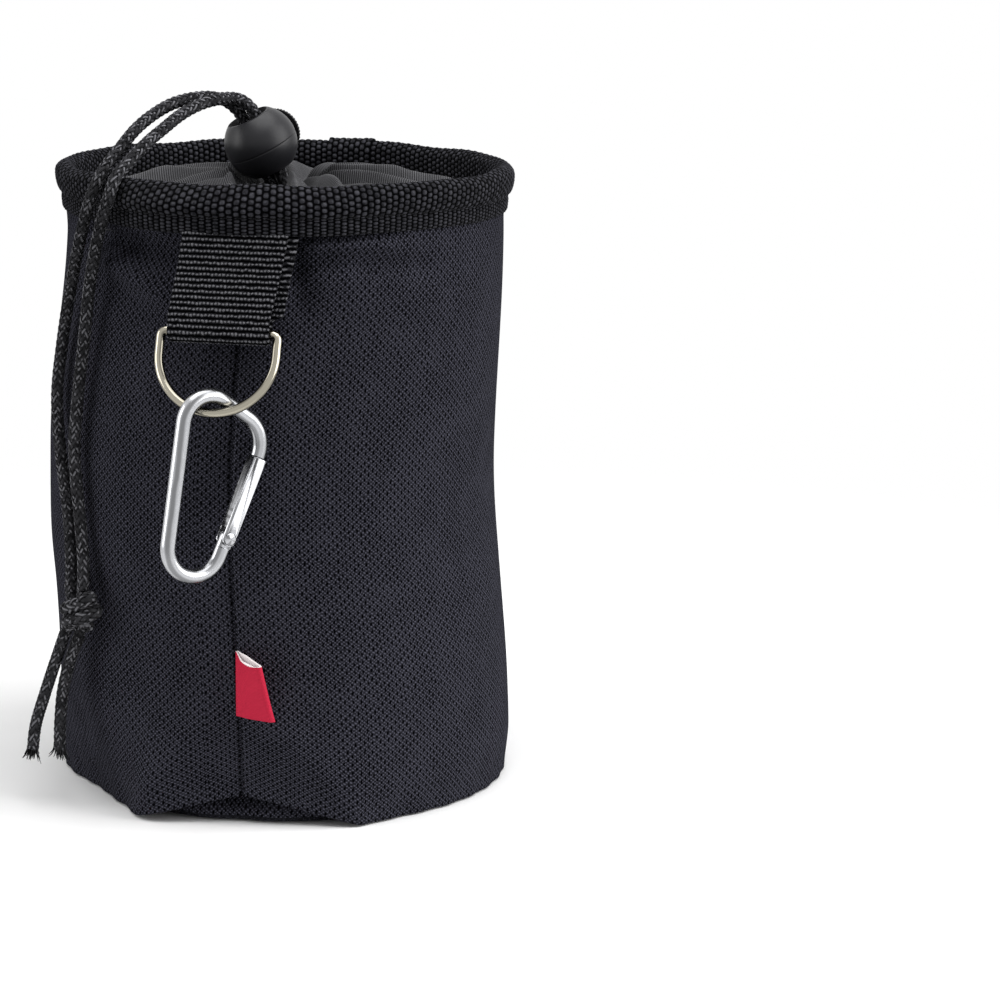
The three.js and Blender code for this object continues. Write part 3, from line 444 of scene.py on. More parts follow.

# %% [markdown]
# ## Cloth wall
# The body is a rectangle of coarse woven polyester sewn into a tube with one seam at the front. It stands
# by its own stiffness: a little swollen at the foot, drawn in under the binding and sagging towards the
# cord tails. Slack folds run from the binding towards the strap, the foot has slumped into a few soft
# corners, and the seam pulls the lower edge up to a peak. A simulation would find some folds, but not
# these, so the wall is lofted and each fold is listed as a soft ridge or hollow along a short line.

# %% Wall profile and hang
FOOT_LIFT, CLOTH = 0.5, 1.2
SWELL, SWELL_HEIGHT = 1.2, 12.0
WAIST_IN, WAIST_HEIGHT = 0.8, 0.55 * BAG_HEIGHT
NECK_IN, MOUTH_IN = 2.0, 1.2
FIT, TAPE, BINDING_DROP = 0.3, 1.1, 11.5
BINDING_LOW = BAG_HEIGHT - BINDING_DROP
WALL_TOP = BAG_HEIGHT - TAPE - 2 * FIT
STATIONS = [
    (FOOT_LIFT, BAG_RADIUS), (SWELL_HEIGHT, BAG_RADIUS + SWELL), (WAIST_HEIGHT, BAG_RADIUS - WAIST_IN),
    (BINDING_LOW, BAG_RADIUS - NECK_IN), (WALL_TOP, BAG_RADIUS - MOUTH_IN),
]
SLUMP, SEAM_DEPTH, SEAM_HALF_WIDTH = 3.0, 1.2, 4.0
GROOVE_DEPTH, GROOVE_HALF_WIDTH, LAP_RISE, LAP_FADE = 1.3, 0.75, 0.55, 3.0
ARCH_RISE, ARCH_MIDDLE_DEG, ARCH_HALF_DEG, ARCH_ROUND_DEG, ARCH_FADE = 7.8, 2.0, 28.0, 3.0, 30.0
# Corners that the foot has slumped into: degrees from the seam, half width in degrees and push
FOOT_CORNERS = [(-20.5, 8.0, 4.6), (-52.0, 17.0, -4.4), (29.0, 9.0, 2.2), (-88.0, 10.0, 1.0)]
FOOT_FADE = (3.0, 30.0)
SEAM_ASIDE = 1.2
# Folds: from and to, each as millimetres round from the seam and height, then half width and rise
FOLDS = [
    ((-36, 134.5), (-14, 125.5), 3.0, 2.3),
    ((-42, 140.0), (-15, 138.0), 3.4, -2.4),
    ((-30, 125.0), (-14, 117.0), 4.5, -1.0),
    ((13, 143.0), (15, 131.0), 3.2, -2.6),
    ((19, 141.5), (37, 140.5), 2.4, 2.2),
    ((13, 130.5), (26, 134.8), 2.2, 1.8),
    ((22, 137.5), (48, 134.5), 2.8, -1.4),
    ((30, 128.0), (60, 125.0), 6.0, 0.6),
    ((-62, 60.0), (-40, 30.0), 9.0, 0.8),
    ((46, 30.0), (78, 52.0), 10.0, 0.9),
    ((-24, 3.0), (-10, 22.0), 4.0, 0.9),
    ((27, 3.0), (12, 22.0), 4.0, 0.9),
    ((120, 138.0), (150, 128.0), 4.0, 1.2),
    ((-150, 136.0), (-118, 139.0), 3.6, -1.2),
    ((-160, 40.0), (-120, 60.0), 10.0, 0.9),
]


def wall_radius(height):
    height = np.asarray(height, float)
    radius = np.full(height.shape, STATIONS[0][1])
    for (low, r0), (high, r1) in zip(STATIONS, STATIONS[1:]):
        radius = np.where(height >= low, r0 + (r1 - r0) * smoothstep(height, low, high), radius)
    return radius


def ridges(folds, across, up):
    """Rise of soft ridges and hollows that run along short straight lines on a cloth."""
    rise = np.zeros(np.broadcast(across, up).shape)
    for (a0, u0), (a1, u1), half_width, high in folds:
        run_a, run_u = a1 - a0, u1 - u0
        length = np.hypot(run_a, run_u)
        along = ((across - a0) * run_a + (up - u0) * run_u) / length
        off = ((across - a0) * run_u - (up - u0) * run_a) / length
        beyond = np.maximum(np.maximum(-along, along - length), 0)
        rise += high * bell(off, half_width) * bell(beyond, 1.6 * half_width)
    return rise


def seam_inset(angle, radius, height):
    fade = 1 - smoothstep(height, BINDING_LOW - 2 * SEAM_HALF_WIDTH, BINDING_LOW)
    return SEAM_DEPTH * fade * bell(radius * angle, SEAM_HALF_WIDTH)


def slump(height):
    span = np.clip((height - SWELL_HEIGHT) / (BINDING_LOW - SWELL_HEIGHT), 0, 1)
    return SLUMP * np.sin(np.pi * span) ** 2


def foot_push(angle, height):
    low = 1 - smoothstep(height, *FOOT_FADE)
    return low * sum(push * bell(np.degrees(angle) - middle, half) for middle, half, push in FOOT_CORNERS)


def arch_lift(angle, height):
    away = np.sqrt((np.degrees(angle) - ARCH_MIDDLE_DEG) ** 2 + ARCH_ROUND_DEG ** 2) / ARCH_HALF_DEG
    tent = np.clip(1 - away, 0, None)
    return ARCH_RISE * tent * (1 - smoothstep(height, FOOT_LIFT, ARCH_FADE))


def about_axis(radius, angle, height):
    """Points round the bag's axis; angle is from the seam at the front, to the right."""
    return np.stack(np.broadcast_arrays(radius * np.sin(angle), -radius * np.cos(angle), height), -1)


def wall_point(angle, height, depth=0.0):
    """A point on the hung wall, depth inside its outer face."""
    radius = wall_radius(height)
    run = angle * BAG_RADIUS
    free = smoothstep(height, 2, 25) * (1 - smoothstep(height, BINDING_LOW - 6, BINDING_LOW + 1))
    below_tape = 1 - smoothstep(height, BINDING_LOW - 2.5, BINDING_LOW + 0.5)
    # Slow waves where the cloth hangs free, gathers at the base's seam, and the groove of the front seam
    waves = 0.35 * np.sin(2.1 * angle + 0.045 * height) + 0.25 * np.sin(5.3 * angle - 0.06 * height + 1.3)
    gathers = 0.22 * np.cos(38 * angle) * bell(height - 2, 5) * (np.abs(angle) > np.radians(ARCH_HALF_DEG))
    off_seam = run - SEAM_ASIDE
    groove = GROOVE_DEPTH * bell(off_seam, GROOVE_HALF_WIDTH)
    groove = groove - LAP_RISE * (off_seam > 0) * np.exp(-np.abs(off_seam) / LAP_FADE)
    out = (ridges(FOLDS, run, height) - groove) * below_tape + waves * free + gathers
    radius = radius - depth - seam_inset(angle, radius, height) + out + foot_push(angle, height)
    hung = about_axis(radius, angle, height + arch_lift(angle, height))
    return hung + slump(height)[..., None] * np.array(tail_side)


print("wall's radius at foot, waist and rim:", wall_radius([FOOT_LIFT, WAIST_HEIGHT, WALL_TOP]).round(1))

# %% Wall
# The grid is finer beside the seam, at the foot and under the binding, where the folds are small
FINE_FOOT, FINE_NECK, FINE_SEAM = 24.0, 120.0, 7.0


def stepped(first, *stretches):
    """Even steps from first through each stretch, given as its end and its number of steps."""
    stops = [[first]]
    for end, steps in stretches:
        stops.append(np.linspace(first, end, steps + 1)[1:])
        first = end
    return np.concatenate(stops)


near_seam = np.linspace(-FINE_SEAM, FINE_SEAM, 57) / BAG_RADIUS
far_round = np.linspace(near_seam[-1], 2 * np.pi + near_seam[0], 330)
round_wall = np.concatenate([near_seam, far_round[1:-1]])
wrapped = (round_wall + np.pi) % (2 * np.pi) - np.pi
outside = stepped(FOOT_LIFT, (FINE_FOOT, 23), (FINE_NECK, 73), (WALL_TOP, 61))
inside = stepped(WALL_TOP, (FINE_FOOT, 29), (FOOT_LIFT, 7))
levels = np.concatenate([outside, inside])
depth = np.concatenate([np.zeros(len(outside)), np.full(len(inside), CLOTH)])
wall = wall_point(wrapped[None, :], levels[:, None], depth[:, None])
threads = thread_grid(
    np.append(levels, levels[0]), np.append(round_wall, round_wall[0] + 2 * np.pi) * BAG_RADIUS
)
bag_wall = Mesh().grid(wall, threads, True, True).piece("cloth_wall", "bag", "cloth", "bag_wall")

# %% [markdown]
# ## Base panel
# A round of the same cloth is sewn in with its edge turned up inside the wall. Under the peak at the front
# a strip of it shows, which leans in and so lies in shade. A flat disc would do for the rest, but one
# revolved section gives the turned-up edge as well, and its rim follows the seam's valley and the corners.

# %% Base
BASE_CORNER, BASE_UPSTAND, BASE_LEAN, BASE_MIDDLE = 4.0, 11.0, 3.6, 0.5
base_outer = BAG_RADIUS - CLOTH - FIT
corner, tight = base_outer - BASE_CORNER, BASE_CORNER - CLOTH
bend = np.linspace(-np.pi / 2, 0, 9)
under = [(r, 0.0) for r in np.linspace(BASE_MIDDLE, corner, 26)[:-1]]
under += [(corner + BASE_CORNER * np.cos(a), BASE_CORNER * (1 + np.sin(a))) for a in bend]
under += [(base_outer, z) for z in np.linspace(BASE_CORNER, BASE_UPSTAND, 7)[1:]]
over = [(base_outer - CLOTH, z) for z in np.linspace(BASE_UPSTAND, BASE_CORNER, 4)]
over += [(corner + tight * np.cos(a), BASE_CORNER + tight * np.sin(a)) for a in bend[::-1][1:]]
over += [(r, CLOTH) for r in np.linspace(corner, BASE_MIDDLE, 12)[1:]]
section = np.array(under + over)
base_out, base_up = section[:, :1], section[:, 1:]
base_round = np.linspace(-np.pi, np.pi, 240, endpoint=False)
at_rim = smoothstep(base_out, base_outer - 2 * BASE_CORNER, corner)
ripple = 0.18 * np.cos(31 * base_round) * bell(base_up - 3, 3)
valley = seam_inset(base_round[None], base_out, base_up)
slumped = np.minimum(foot_push(base_round[None], base_up), 0)
under_arch = np.clip(1.2 - np.abs(np.degrees(base_round) - ARCH_MIDDLE_DEG) / ARCH_HALF_DEG, 0, 1)
lean = BASE_LEAN * under_arch * smoothstep(base_up, 1.5, 7.5)
base_points = about_axis(base_out + at_rim * (ripple - valley + slumped - lean), base_round, base_up)
wrap = np.append(base_round, np.pi)
standing = base_up > BASE_CORNER / 3
threads = np.stack(
    [
        np.where(standing, base_up, base_out * np.sin(wrap)),
        np.where(standing, base_outer * wrap, base_out * np.cos(wrap)),
    ],
    -1,
)
base_mesh = Mesh().grid(base_points, threads, False, True, caps=True)
base = base_mesh.piece("cloth_base", "bag", "cloth", "base_panel")

# %% [markdown]
# ## Rim binding
# A wide tape is folded over the mouth and sewn through, 7 mm below the fold, so its upper part rolls out
# in a soft bead and its lower edge lies close to the wall. The weave is coarse enough to see as staggered
# cells, so it is in the mesh, not only in the finish: the tape's middle line is swept round the mouth, and
# its face is raised on every cell. Behind, the tape's end laps over its start.

# %% Section of the binding
STITCH_DROP, ROLL_DROP, ROLL = 7.4, 3.6, 0.55
TAPE_STEP = 0.34
stitch_height = BAG_HEIGHT - STITCH_DROP
fold_drop = TAPE + 2 * FIT
# Down the outside and the inside: drop below the top, and swell off the wall
TAPE_OUTSIDE = [
    (BINDING_DROP, -0.4), (BINDING_DROP - 1.5, -0.35), (STITCH_DROP + 1.2, -0.35), (STITCH_DROP, -0.6),
    (STITCH_DROP - 1.2, 0.2), (ROLL_DROP, ROLL), (fold_drop, ROLL / 2),
]
TAPE_INSIDE = [
    (fold_drop, ROLL / 2), (ROLL_DROP, ROLL), (STITCH_DROP - 1.2, 0.2), (STITCH_DROP, -0.1),
    (BINDING_DROP, 0.15),
]


def on_tape(side, drop, swell):
    """A point of the tape's middle line, outside the wall for side 1 and inside it for side -1."""
    face = float(wall_radius(min(BAG_HEIGHT - drop, WALL_TOP)))
    face = face if side > 0 else face - CLOTH
    return (face + side * (FIT + TAPE / 2 + swell), 0.0, BAG_HEIGHT - drop)


fold_top = (BAG_RADIUS - MOUTH_IN - CLOTH / 2, 0.0, BAG_HEIGHT - TAPE / 2)
tape_stops = [on_tape(1, *stop) for stop in TAPE_OUTSIDE] + [fold_top]
middle_line = through(tape_stops + [on_tape(-1, *stop) for stop in TAPE_INSIDE], TAPE_STEP)
tape_along = distances(middle_line)
tape_tangent = unit(np.gradient(middle_line, axis=0))
tape_out = np.stack([tape_tangent[:, 2], 0 * tape_tangent[:, 0], -tape_tangent[:, 0]], 1)
tape_out *= np.sign(tape_out[0, 0])
print("tape's width over the fold:", round(tape_along[-1], 1))

# %% Binding
STRAP_WIDTH, STRAP, STRAP_TUCK, STRAP_MARGIN = 25.0, 1.4, 5.5, 2.0
STRAP_STACK = 2 * STRAP
CELL_WIDTH, CELL_HEIGHT, FLAP_CELL_HEIGHT, CELL_DEPTH = 1.62, 1.34, 0.82, 0.26
CELLS_ROUND = round(2 * np.pi * BAG_RADIUS / CELL_WIDTH / 2) * 2
POINTS_PER_CELL = 5
LAP_DEG, LAP_THICK = 167.0, 0.75
POCKET_EASE, THIN_EDGE = 26.0, 0.35
strap_seat = float(wall_radius(BINDING_LOW + STRAP_TUCK)) + FIT


def cells(row, column):
    """Height of the staggered weave, 0 in the gaps and 1 on a cell."""
    row = row + 0.5 * (np.floor(column) % 2)
    return (np.abs(np.sin(np.pi * row)) * np.abs(np.sin(np.pi * column))) ** 0.8


def over_strap(radius, angle, height):
    """The tape stands out where it passes over the strap's sewn end."""
    across_x = np.abs(radius * np.sin(angle))
    pocket = STRAP_WIDTH / 2 + STRAP_MARGIN
    across = (1 - smoothstep(across_x, pocket, pocket + POCKET_EASE)) * (np.abs(angle) < 1.2)
    below = 1 - smoothstep(height, BINDING_LOW + STRAP_TUCK, BAG_HEIGHT - TAPE / 2)
    outer = radius > BAG_RADIUS - NECK_IN
    return outer * across * below * (strap_seat - (BAG_RADIUS - NECK_IN) + STRAP_STACK)


tape_round = np.linspace(-np.pi, np.pi, CELLS_ROUND * POINTS_PER_CELL, endpoint=False)
flap = BINDING_DROP - STITCH_DROP
tape_rows = np.minimum(tape_along, flap) / FLAP_CELL_HEIGHT + np.maximum(tape_along - flap, 0) / CELL_HEIGHT
columns = (tape_round + np.pi) / (2 * np.pi) * CELLS_ROUND
weave = cells(tape_rows[:, None], columns[None])
lap = (tape_round > 0) * smoothstep(np.degrees(np.abs(tape_round)), LAP_DEG - 0.4, LAP_DEG)
edge = smoothstep(np.minimum(tape_along, tape_along[-1] - tape_along), 0, 0.8)[:, None]
half_tape = TAPE / 2 * (THIN_EDGE + (1 - THIN_EDGE) * edge)
face = half_tape - CELL_DEPTH * (1 - weave) + LAP_THICK * lap[None]
back = np.broadcast_to(-half_tape, face.shape)
rows = np.arange(len(middle_line))
ring_rows = np.concatenate([rows, rows[::-3]])
skin = np.concatenate([face, back[::-3]])
radial = middle_line[ring_rows, 0][:, None] + skin * tape_out[ring_rows, 0][:, None]
tall = middle_line[ring_rows, 2][:, None] + skin * tape_out[ring_rows, 2][:, None]
sway = 0.25 * np.sin(9 * tape_round + 0.7) + 0.2 * np.sin(14 * tape_round)
tall = tall + sway[None] * 0.7 * smoothstep(tall, BINDING_LOW - 4, BAG_HEIGHT)
radial = radial + over_strap(radial, tape_round[None], tall)
tape_points = about_axis(radial, tape_round, tall)
threads = thread_grid(tape_rows[ring_rows], np.append(columns, CELLS_ROUND))
threads = np.concatenate([threads, threads[:1]])
binding = Mesh().grid(tape_points, threads, True, True).piece("tape_binding", "bag", "tape", "rim_binding")

# %% Binding stitches
STITCH_LENGTH, STITCH_GAP, STITCH_THICK, STITCH_SIDES = 2.5, 0.7, 0.24, 6
STITCH_PROUD, STITCH_DIVE = 0.02, 0.3
INSIDE_TAPE = BAG_RADIUS - 1.5
stitches = Mesh()
from_line = np.where(middle_line[:, 0] < INSIDE_TAPE, np.inf, np.abs(middle_line[:, 2] - stitch_height))
stitch_radius = middle_line[np.argmin(from_line), 0] + TAPE / 2 - CELL_DEPTH / 2
count = int(2 * np.pi * stitch_radius / (STITCH_LENGTH + STITCH_GAP))
t = np.linspace(-1, 1, 7)
for i in range(count):
    angle = -np.pi + 2 * np.pi * (i + 0.5) / count + t * STITCH_LENGTH / 2 / stitch_radius
    radius = stitch_radius + STITCH_PROUD * (1 - t ** 4) - STITCH_DIVE * t ** 8
    radius = radius + over_strap(stitch_radius, angle, stitch_height)
    line = about_axis(radius, angle, stitch_height)
    tube(stitches, line, STITCH_THICK * np.sqrt(1 - 0.85 * t ** 2), STITCH_SIDES)
binding_stitches = stitches.piece("tape_stitches", "bag", "tape")

# %% [markdown]
# ## Gathered collar
# A sleeve of thin grey nylon is sewn inside the binding and drawn shut by the cord in its hem. Cloth that
# was a full circle round has to fit a ring a tenth as long, so it stands up in uneven pleats that sharpen
# towards the middle. It is one sheet: a crowned profile from the binding to the hem, pleats whose number
# and height drift as they go round, a few placed folds, and a hollow where the lock sits in it.

# %% Collar
COLLAR_CLOTH, COLLAR_SHOULDER, COLLAR_SHOULDER_DROP = 0.5, 9.0, 6.2
COLLAR_CREST, COLLAR_CREST_DROP = 0.49 * (BAG_RADIUS - MOUTH_IN), 2.6
HEM_CHANNEL = CORD / 2 + 0.8 + 0.35
PLEATS, PLEAT_DEPTH = 18, 6.6
COLLAR_TOP = BAG_HEIGHT - 0.4
LOCK_RADIUS, LOCK_DIP = 9.0, 1.5
# Folds that stand round the lock: from and to across the mouth, half width and rise
COLLAR_FOLDS = [
    ((-27, -8), (-14, -4), 4.2, 3.2),
    ((8, 2), (21, 6), 3.6, 3.4),
    ((-12.5, -8), (-8.5, -21), 1.2, 2.6),
    ((25, 3), (42, 8), 4.5, 1.6),
    ((-43, -12), (-30, -8), 4.5, 1.6),
    ((4, -14), (18, -20), 2.4, 2.0),
    ((-6, -12), (-2.5, -28), 5.0, -5.5),
    ((-24, -22), (-38, -24), 3.0, -2.4),
    ((14, -8), (30, -14), 2.2, -2.6),
]
collar_edge = float(wall_radius(BINDING_LOW)) - CLOTH - FIT - 0.35
collar_line = through(
    [
        (collar_edge, 0, BINDING_LOW - FIT - 1.4),
        (collar_edge - COLLAR_SHOULDER, 0, BAG_HEIGHT - COLLAR_SHOULDER_DROP),
        (COLLAR_CREST, 0, BAG_HEIGHT - COLLAR_CREST_DROP),
        (0.62 * COLLAR_CREST, 0, BAG_HEIGHT - COLLAR_CREST_DROP + 0.8),
        (0.42 * COLLAR_CREST, 0, BAG_HEIGHT - COLLAR_CREST_DROP - 0.4),
        (HEM_RADIUS + HEM_CHANNEL * 0.9, 0, hem_height + HEM_CHANNEL * 0.6),
    ],
    0.6,
)
COLLAR_POINTS = 540
collar_round = np.linspace(-np.pi, np.pi, COLLAR_POINTS, endpoint=False)


def pleats(angle, radius):
    """How deep the cloth hangs between two pleats, 0 on a crest and about 1 in a valley."""
    drift = angle + 0.09 * np.sin(3 * angle + 0.8) + 0.06 * np.sin(5 * angle + 2.1)
    valley = 0.5 - 0.5 * np.cos(PLEATS * drift + 0.35 * np.sin(0.21 * radius + 2 * angle))
    crease = 0.5 - 0.5 * np.cos(2 * PLEATS * drift + 0.9)
    uneven = 0.74 + 0.26 * np.sin(4 * drift + 0.6) * np.cos(3 * angle + 0.05 * radius)
    return uneven * (valley ** 0.8 + 0.22 * crease)


def lesser(first, second, soften=0.6):
    """The lesser of two heights, rounded where they cross."""
    return -soften * np.logaddexp(-first / soften, -second / soften)


radius = collar_line[:, :1]
over_x, over_y = radius * np.sin(collar_round), -radius * np.cos(collar_round)
reach = PLEAT_DEPTH * (1 - smoothstep(radius, COLLAR_CREST - 4, collar_edge - 3))
reach = reach * (0.45 + 0.55 * smoothstep(radius, HEM_RADIUS + 2, HEM_RADIUS + 10))
top = collar_line[:, 2:] - reach * pleats(collar_round[None], radius)
top = top + ridges(COLLAR_FOLDS, over_x, over_y) * smoothstep(radius, HEM_RADIUS + 2, HEM_RADIUS + 8)
slid = np.array(lock_frame @ Vector((0, 0, -LOCK_DIP)))
from_lock = np.hypot(over_x - slid[0], over_y - slid[1])
nest = slid[2] - np.sqrt(np.clip((LOCK_RADIUS + FIT) ** 2 - from_lock ** 2, 0, None)) - FIT
top = lesser(top, np.where(from_lock < LOCK_RADIUS + FIT, nest, COLLAR_TOP), 0.35)
top = lesser(top, np.full_like(top, COLLAR_TOP))
skew = 0.05 * np.sin(6 * collar_round + 1) * smoothstep(collar_edge - radius, 4, 20)
swirl = collar_round[None] + skew
upper, lower = about_axis(radius, swirl, top), about_axis(radius, swirl, top - COLLAR_CLOTH)
collar_along = distances(collar_line)
there_and_back = np.concatenate([collar_along, collar_along[::-1], collar_along[:1]])
threads = thread_grid(there_and_back, np.append(collar_round, np.pi) * 30)
collar_mesh = Mesh().grid(np.concatenate([upper, lower[::-1]]), threads, True, True)
collar = collar_mesh.piece("nylon_collar", "bag", "nylon", "closure_collar")

# %% Hem of the collar
HEM_OPEN_FROM, HEM_OPEN_TO = -150.0, -75.0
HEM_SIDES = 24
hem_sweep = np.linspace(HEM_OPEN_TO, HEM_OPEN_FROM + 360, 150)
hem_path = np.array([hem_circle(a) for a in hem_sweep])
hem_round = full_turn(HEM_SIDES)
_, side, up = carried_frames(hem_path)
pucker = HEM_CHANNEL + 0.28 * np.cos(np.radians(hem_sweep) * 16)[:, None] + 0.2 * np.cos(3 * hem_round)[None]
pucker = pucker[..., None]
ring = spokes(side, up, hem_round)
hem_outer, hem_inner = hem_path[:, None] + pucker * ring, hem_path[:, None] + (pucker - COLLAR_CLOTH) * ring
hem_along = distances(hem_path)
threads = thread_grid(np.concatenate([hem_along, hem_along[::-1], [0]]), np.linspace(0, 14, HEM_SIDES + 1))
hem_mesh = Mesh().grid(np.concatenate([hem_outer, hem_inner[::-1]]), threads, True, True)
hem = hem_mesh.piece("nylon_hem", "bag", "nylon")

# %% [markdown]
# ## Ball cord lock
# A satin black ball, 18 mm across, cut flat at both ends of its cord passage, which opens in a flared
# mouth whose inside is painted near black as shade. It has tipped a little towards the front. A plunger with
# a ribbed cap pushes into it from the back against a small spring, which shortens as the button goes in. All
# are turned shapes with crossing holes: they could be joined from patches by hand, but it is surer to revolve
# them finely, drill them with a Boolean and ease the cut with a small bevel, so that each rim catches a thin
# light.

# %% Turned shapes and cuts
EASE_SEGMENTS, EASE_WEIGHT = 2, 100


def revolved(profile, segments, ribs=None):
    """A turned solid about Z from (radius, height) pairs; ribs moves the radius with the angle."""
    profile = np.array(profile, float)
    angle = full_turn(segments)
    radius = np.broadcast_to(profile[:, :1], (len(profile), segments))
    if ribs is not None:
        radius = radius + ribs(profile, angle)
    height = np.broadcast_to(profile[:, 1:], radius.shape)
    points = np.stack([radius * np.cos(angle), radius * np.sin(angle), height], -1)
    threads = thread_grid(distances(profile), np.linspace(0, 2 * np.pi * profile[:, 0].max(), segments + 1))
    return Mesh().grid(points, threads, False, True, caps=True)


def rod(radius, low, high, segments):
    return revolved([(radius, low), (radius, high)], segments)


def prism(outline, low, high):
    """A straight solid over an outline in the XY plane."""
    outline = np.array(outline, float)
    rows = np.array([[(x, y, z) for x, y in outline] for z in (low, high)])
    threads = thread_grid([low, high], np.append(distances(outline), 0))
    return Mesh().grid(rows, threads, False, True, caps=True)


def applied(made):
    """The object with its modifiers worked into its mesh."""
    bpy.context.view_layer.update()
    seen = made.evaluated_get(bpy.context.evaluated_depsgraph_get())
    data = bpy.data.meshes.new_from_object(seen)
    made.modifiers.clear()
    made.data = data
    return made


def carved(made, *tools, operation="DIFFERENCE"):
    """A blank cut by each tool, or trimmed to it; the tools are then thrown away."""
    for tool in tools:
        cut = made.modifiers.new("cut", "BOOLEAN")
        cut.operation, cut.solver, cut.object = operation, "EXACT", tool
    applied(made)
    for tool in tools:
        bpy.data.objects.remove(tool)
    return made


def eased(made, width, angle=38.0):
    """Sharp rims given a small round, and the rest shaded smooth."""
    ease = made.modifiers.new("ease", "BEVEL")
    ease.width, ease.segments, ease.limit_method = width * MM, EASE_SEGMENTS, "ANGLE"
    ease.angle_limit = np.radians(angle)
    made.data.shade_smooth()
    even = made.modifiers.new("even", "WEIGHTED_NORMAL")
    even.weight = EASE_WEIGHT
    return applied(made)


def crisp(made, degrees):
    """Shaded smooth, apart from edges sharper than an angle."""
    made.data.shade_smooth()
    made.data.set_sharp_from_angle(angle=np.radians(degrees))
    return made


print("points on a trial rod:", rod(1, 0, 1, 8).count)

# %% Ball
LOCK_WALL, THROUGH = 1.1, 12.0
BALL_ROWS, BALL_SIDES, DRILL_SIDES, BALL_EASE = 64, 96, 64, 0.28
MOUTH_RADIUS, MOUTH_FLARE, MOUTH_CURVE, OVERCUT, HAIR = 5.1, 2.6, 1.6, 0.1, 0.01
CORD_PASSAGE = CORD_ASIDE + CORD / 2 + FIT
PLUNGER_RADIUS = CORD_PASSAGE + 1.0
PARTING_ALONG, PARTING_DEPTH, PARTING_HALF_WIDTH, PARTING_REACH = -0.9, 0.1, 0.16, 0.3
BALL_TIP_DEG = 7.5
flat_at = np.arcsin(LOCK_FLAT / LOCK_RADIUS)
parting_stops = PARTING_ALONG + np.linspace(-PARTING_REACH, PARTING_REACH, 5)
arc = np.append(np.linspace(-flat_at, flat_at, BALL_ROWS), np.arcsin(parting_stops / LOCK_RADIUS))
arc = np.sort(arc)
ball_height = LOCK_RADIUS * np.sin(arc)
parting_groove = PARTING_DEPTH * bell(ball_height - PARTING_ALONG, PARTING_HALF_WIDTH)
ball_profile = np.stack([LOCK_RADIUS * np.cos(arc) - parting_groove, ball_height], 1)
parting_at = float(np.interp(PARTING_ALONG, ball_height, distances(ball_profile)))
flare_in, flare_low = CORD_PASSAGE - OVERCUT, LOCK_FLAT - MOUTH_FLARE
flare_profile = [
    (flare_in + (MOUTH_RADIUS - flare_in) * t ** MOUTH_CURVE, flare_low + (MOUTH_FLARE + HAIR) * t)
    for t in np.linspace(0, 1, 10)
]
flare_profile.append((MOUTH_RADIUS, THROUGH))
sleeve_floor = -np.sqrt(LOCK_RADIUS ** 2 - (PLUNGER_RADIUS + FIT + LOCK_WALL) ** 2)
ball_frame = lock_frame @ turn(BALL_TIP_DEG, "X")
button_frame = lock_frame @ turn(-90, "X")
ball = carved(
    revolved(ball_profile, BALL_SIDES).blank("lock_ball", ball_frame),
    rod(CORD_PASSAGE, -THROUGH, THROUGH, DRILL_SIDES).blank("bore", ball_frame),
    revolved(flare_profile, DRILL_SIDES).blank("flare", ball_frame),
    rod(PLUNGER_RADIUS + FIT, sleeve_floor, THROUGH, DRILL_SIDES).blank("sleeve", button_frame),
)
lock_ball = settle(eased(ball, BALL_EASE), "cord_lock", "lock", "cord_lock_body")

# %% Faces of the ball's passage, painted dark as shade
# They look back towards the passage's axis, while the rest of the ball looks away from it
facing = np.array([(*face.center, *face.normal) for face in lock_ball.data.polygons])
inward = placed(ball_frame.inverted(), facing[:, :3] / MM)[:, :2]
turned = facing[:, 3:] @ np.array(ball_frame.to_3x3())
inside_mouth = (np.hypot(*inward.T) < MOUTH_RADIUS) & ((inward * turned[:, :2]).sum(1) < 0)
print("faces in the cord passage:", int(inside_mouth.sum()))

# %% Plunger
BUTTON_PROUD, BUTTON_DOME, PLUNGER_FLOOR, PLUNGER_TRAVEL = 2.6, 1.1, 1.2, 2.2
CAP_RADIUS, CAP_THICK, CAP_MIDDLE = 6.0, 1.7, 0.3
KNURLS, KNURL_DEPTH, KNURL_SIDES = 44, 0.16, 264
grip = CORD / 2 + FIT
inner, outer = -grip - PLUNGER_FLOOR, LOCK_RADIUS + BUTTON_PROUD
cap_low, dome_low = outer - CAP_THICK, outer - BUTTON_DOME
plunger_profile = [(CAP_MIDDLE, inner), (PLUNGER_RADIUS, inner)]
plunger_profile += [(PLUNGER_RADIUS, z) for z in np.linspace(inner, cap_low, 24)[1:]]
plunger_profile += [(CAP_RADIUS, z) for z in np.linspace(cap_low, dome_low, 6)]
plunger_profile += [
    (CAP_MIDDLE + (CAP_RADIUS - CAP_MIDDLE) * np.cos(a), dome_low + BUTTON_DOME * np.sin(a))
    for a in np.linspace(0, np.pi / 2, 14)[1:]
]


def knurl(profile, angle):
    """Fine ribs round the button, where a thumb presses."""
    shown = smoothstep(profile[:, 0], PLUNGER_RADIUS + 0.1, CAP_RADIUS - 0.4)
    return -KNURL_DEPTH * shown[:, None] * (0.5 - 0.5 * np.cos(KNURLS * angle))[None]


slot_high = grip + PLUNGER_TRAVEL
cord_slot = [(-CORD_PASSAGE, -grip), (CORD_PASSAGE, -grip)]
cord_slot += [(CORD_PASSAGE, slot_high), (-CORD_PASSAGE, slot_high)]
button = carved(
    revolved(plunger_profile, KNURL_SIDES, knurl).blank("lock_plunger", button_frame),
    prism(cord_slot, -THROUGH, THROUGH).blank("slot", lock_frame),
)
lock_plunger = settle(crisp(button, 40), "lock_plunger", "lock", "cord_lock_plunger")

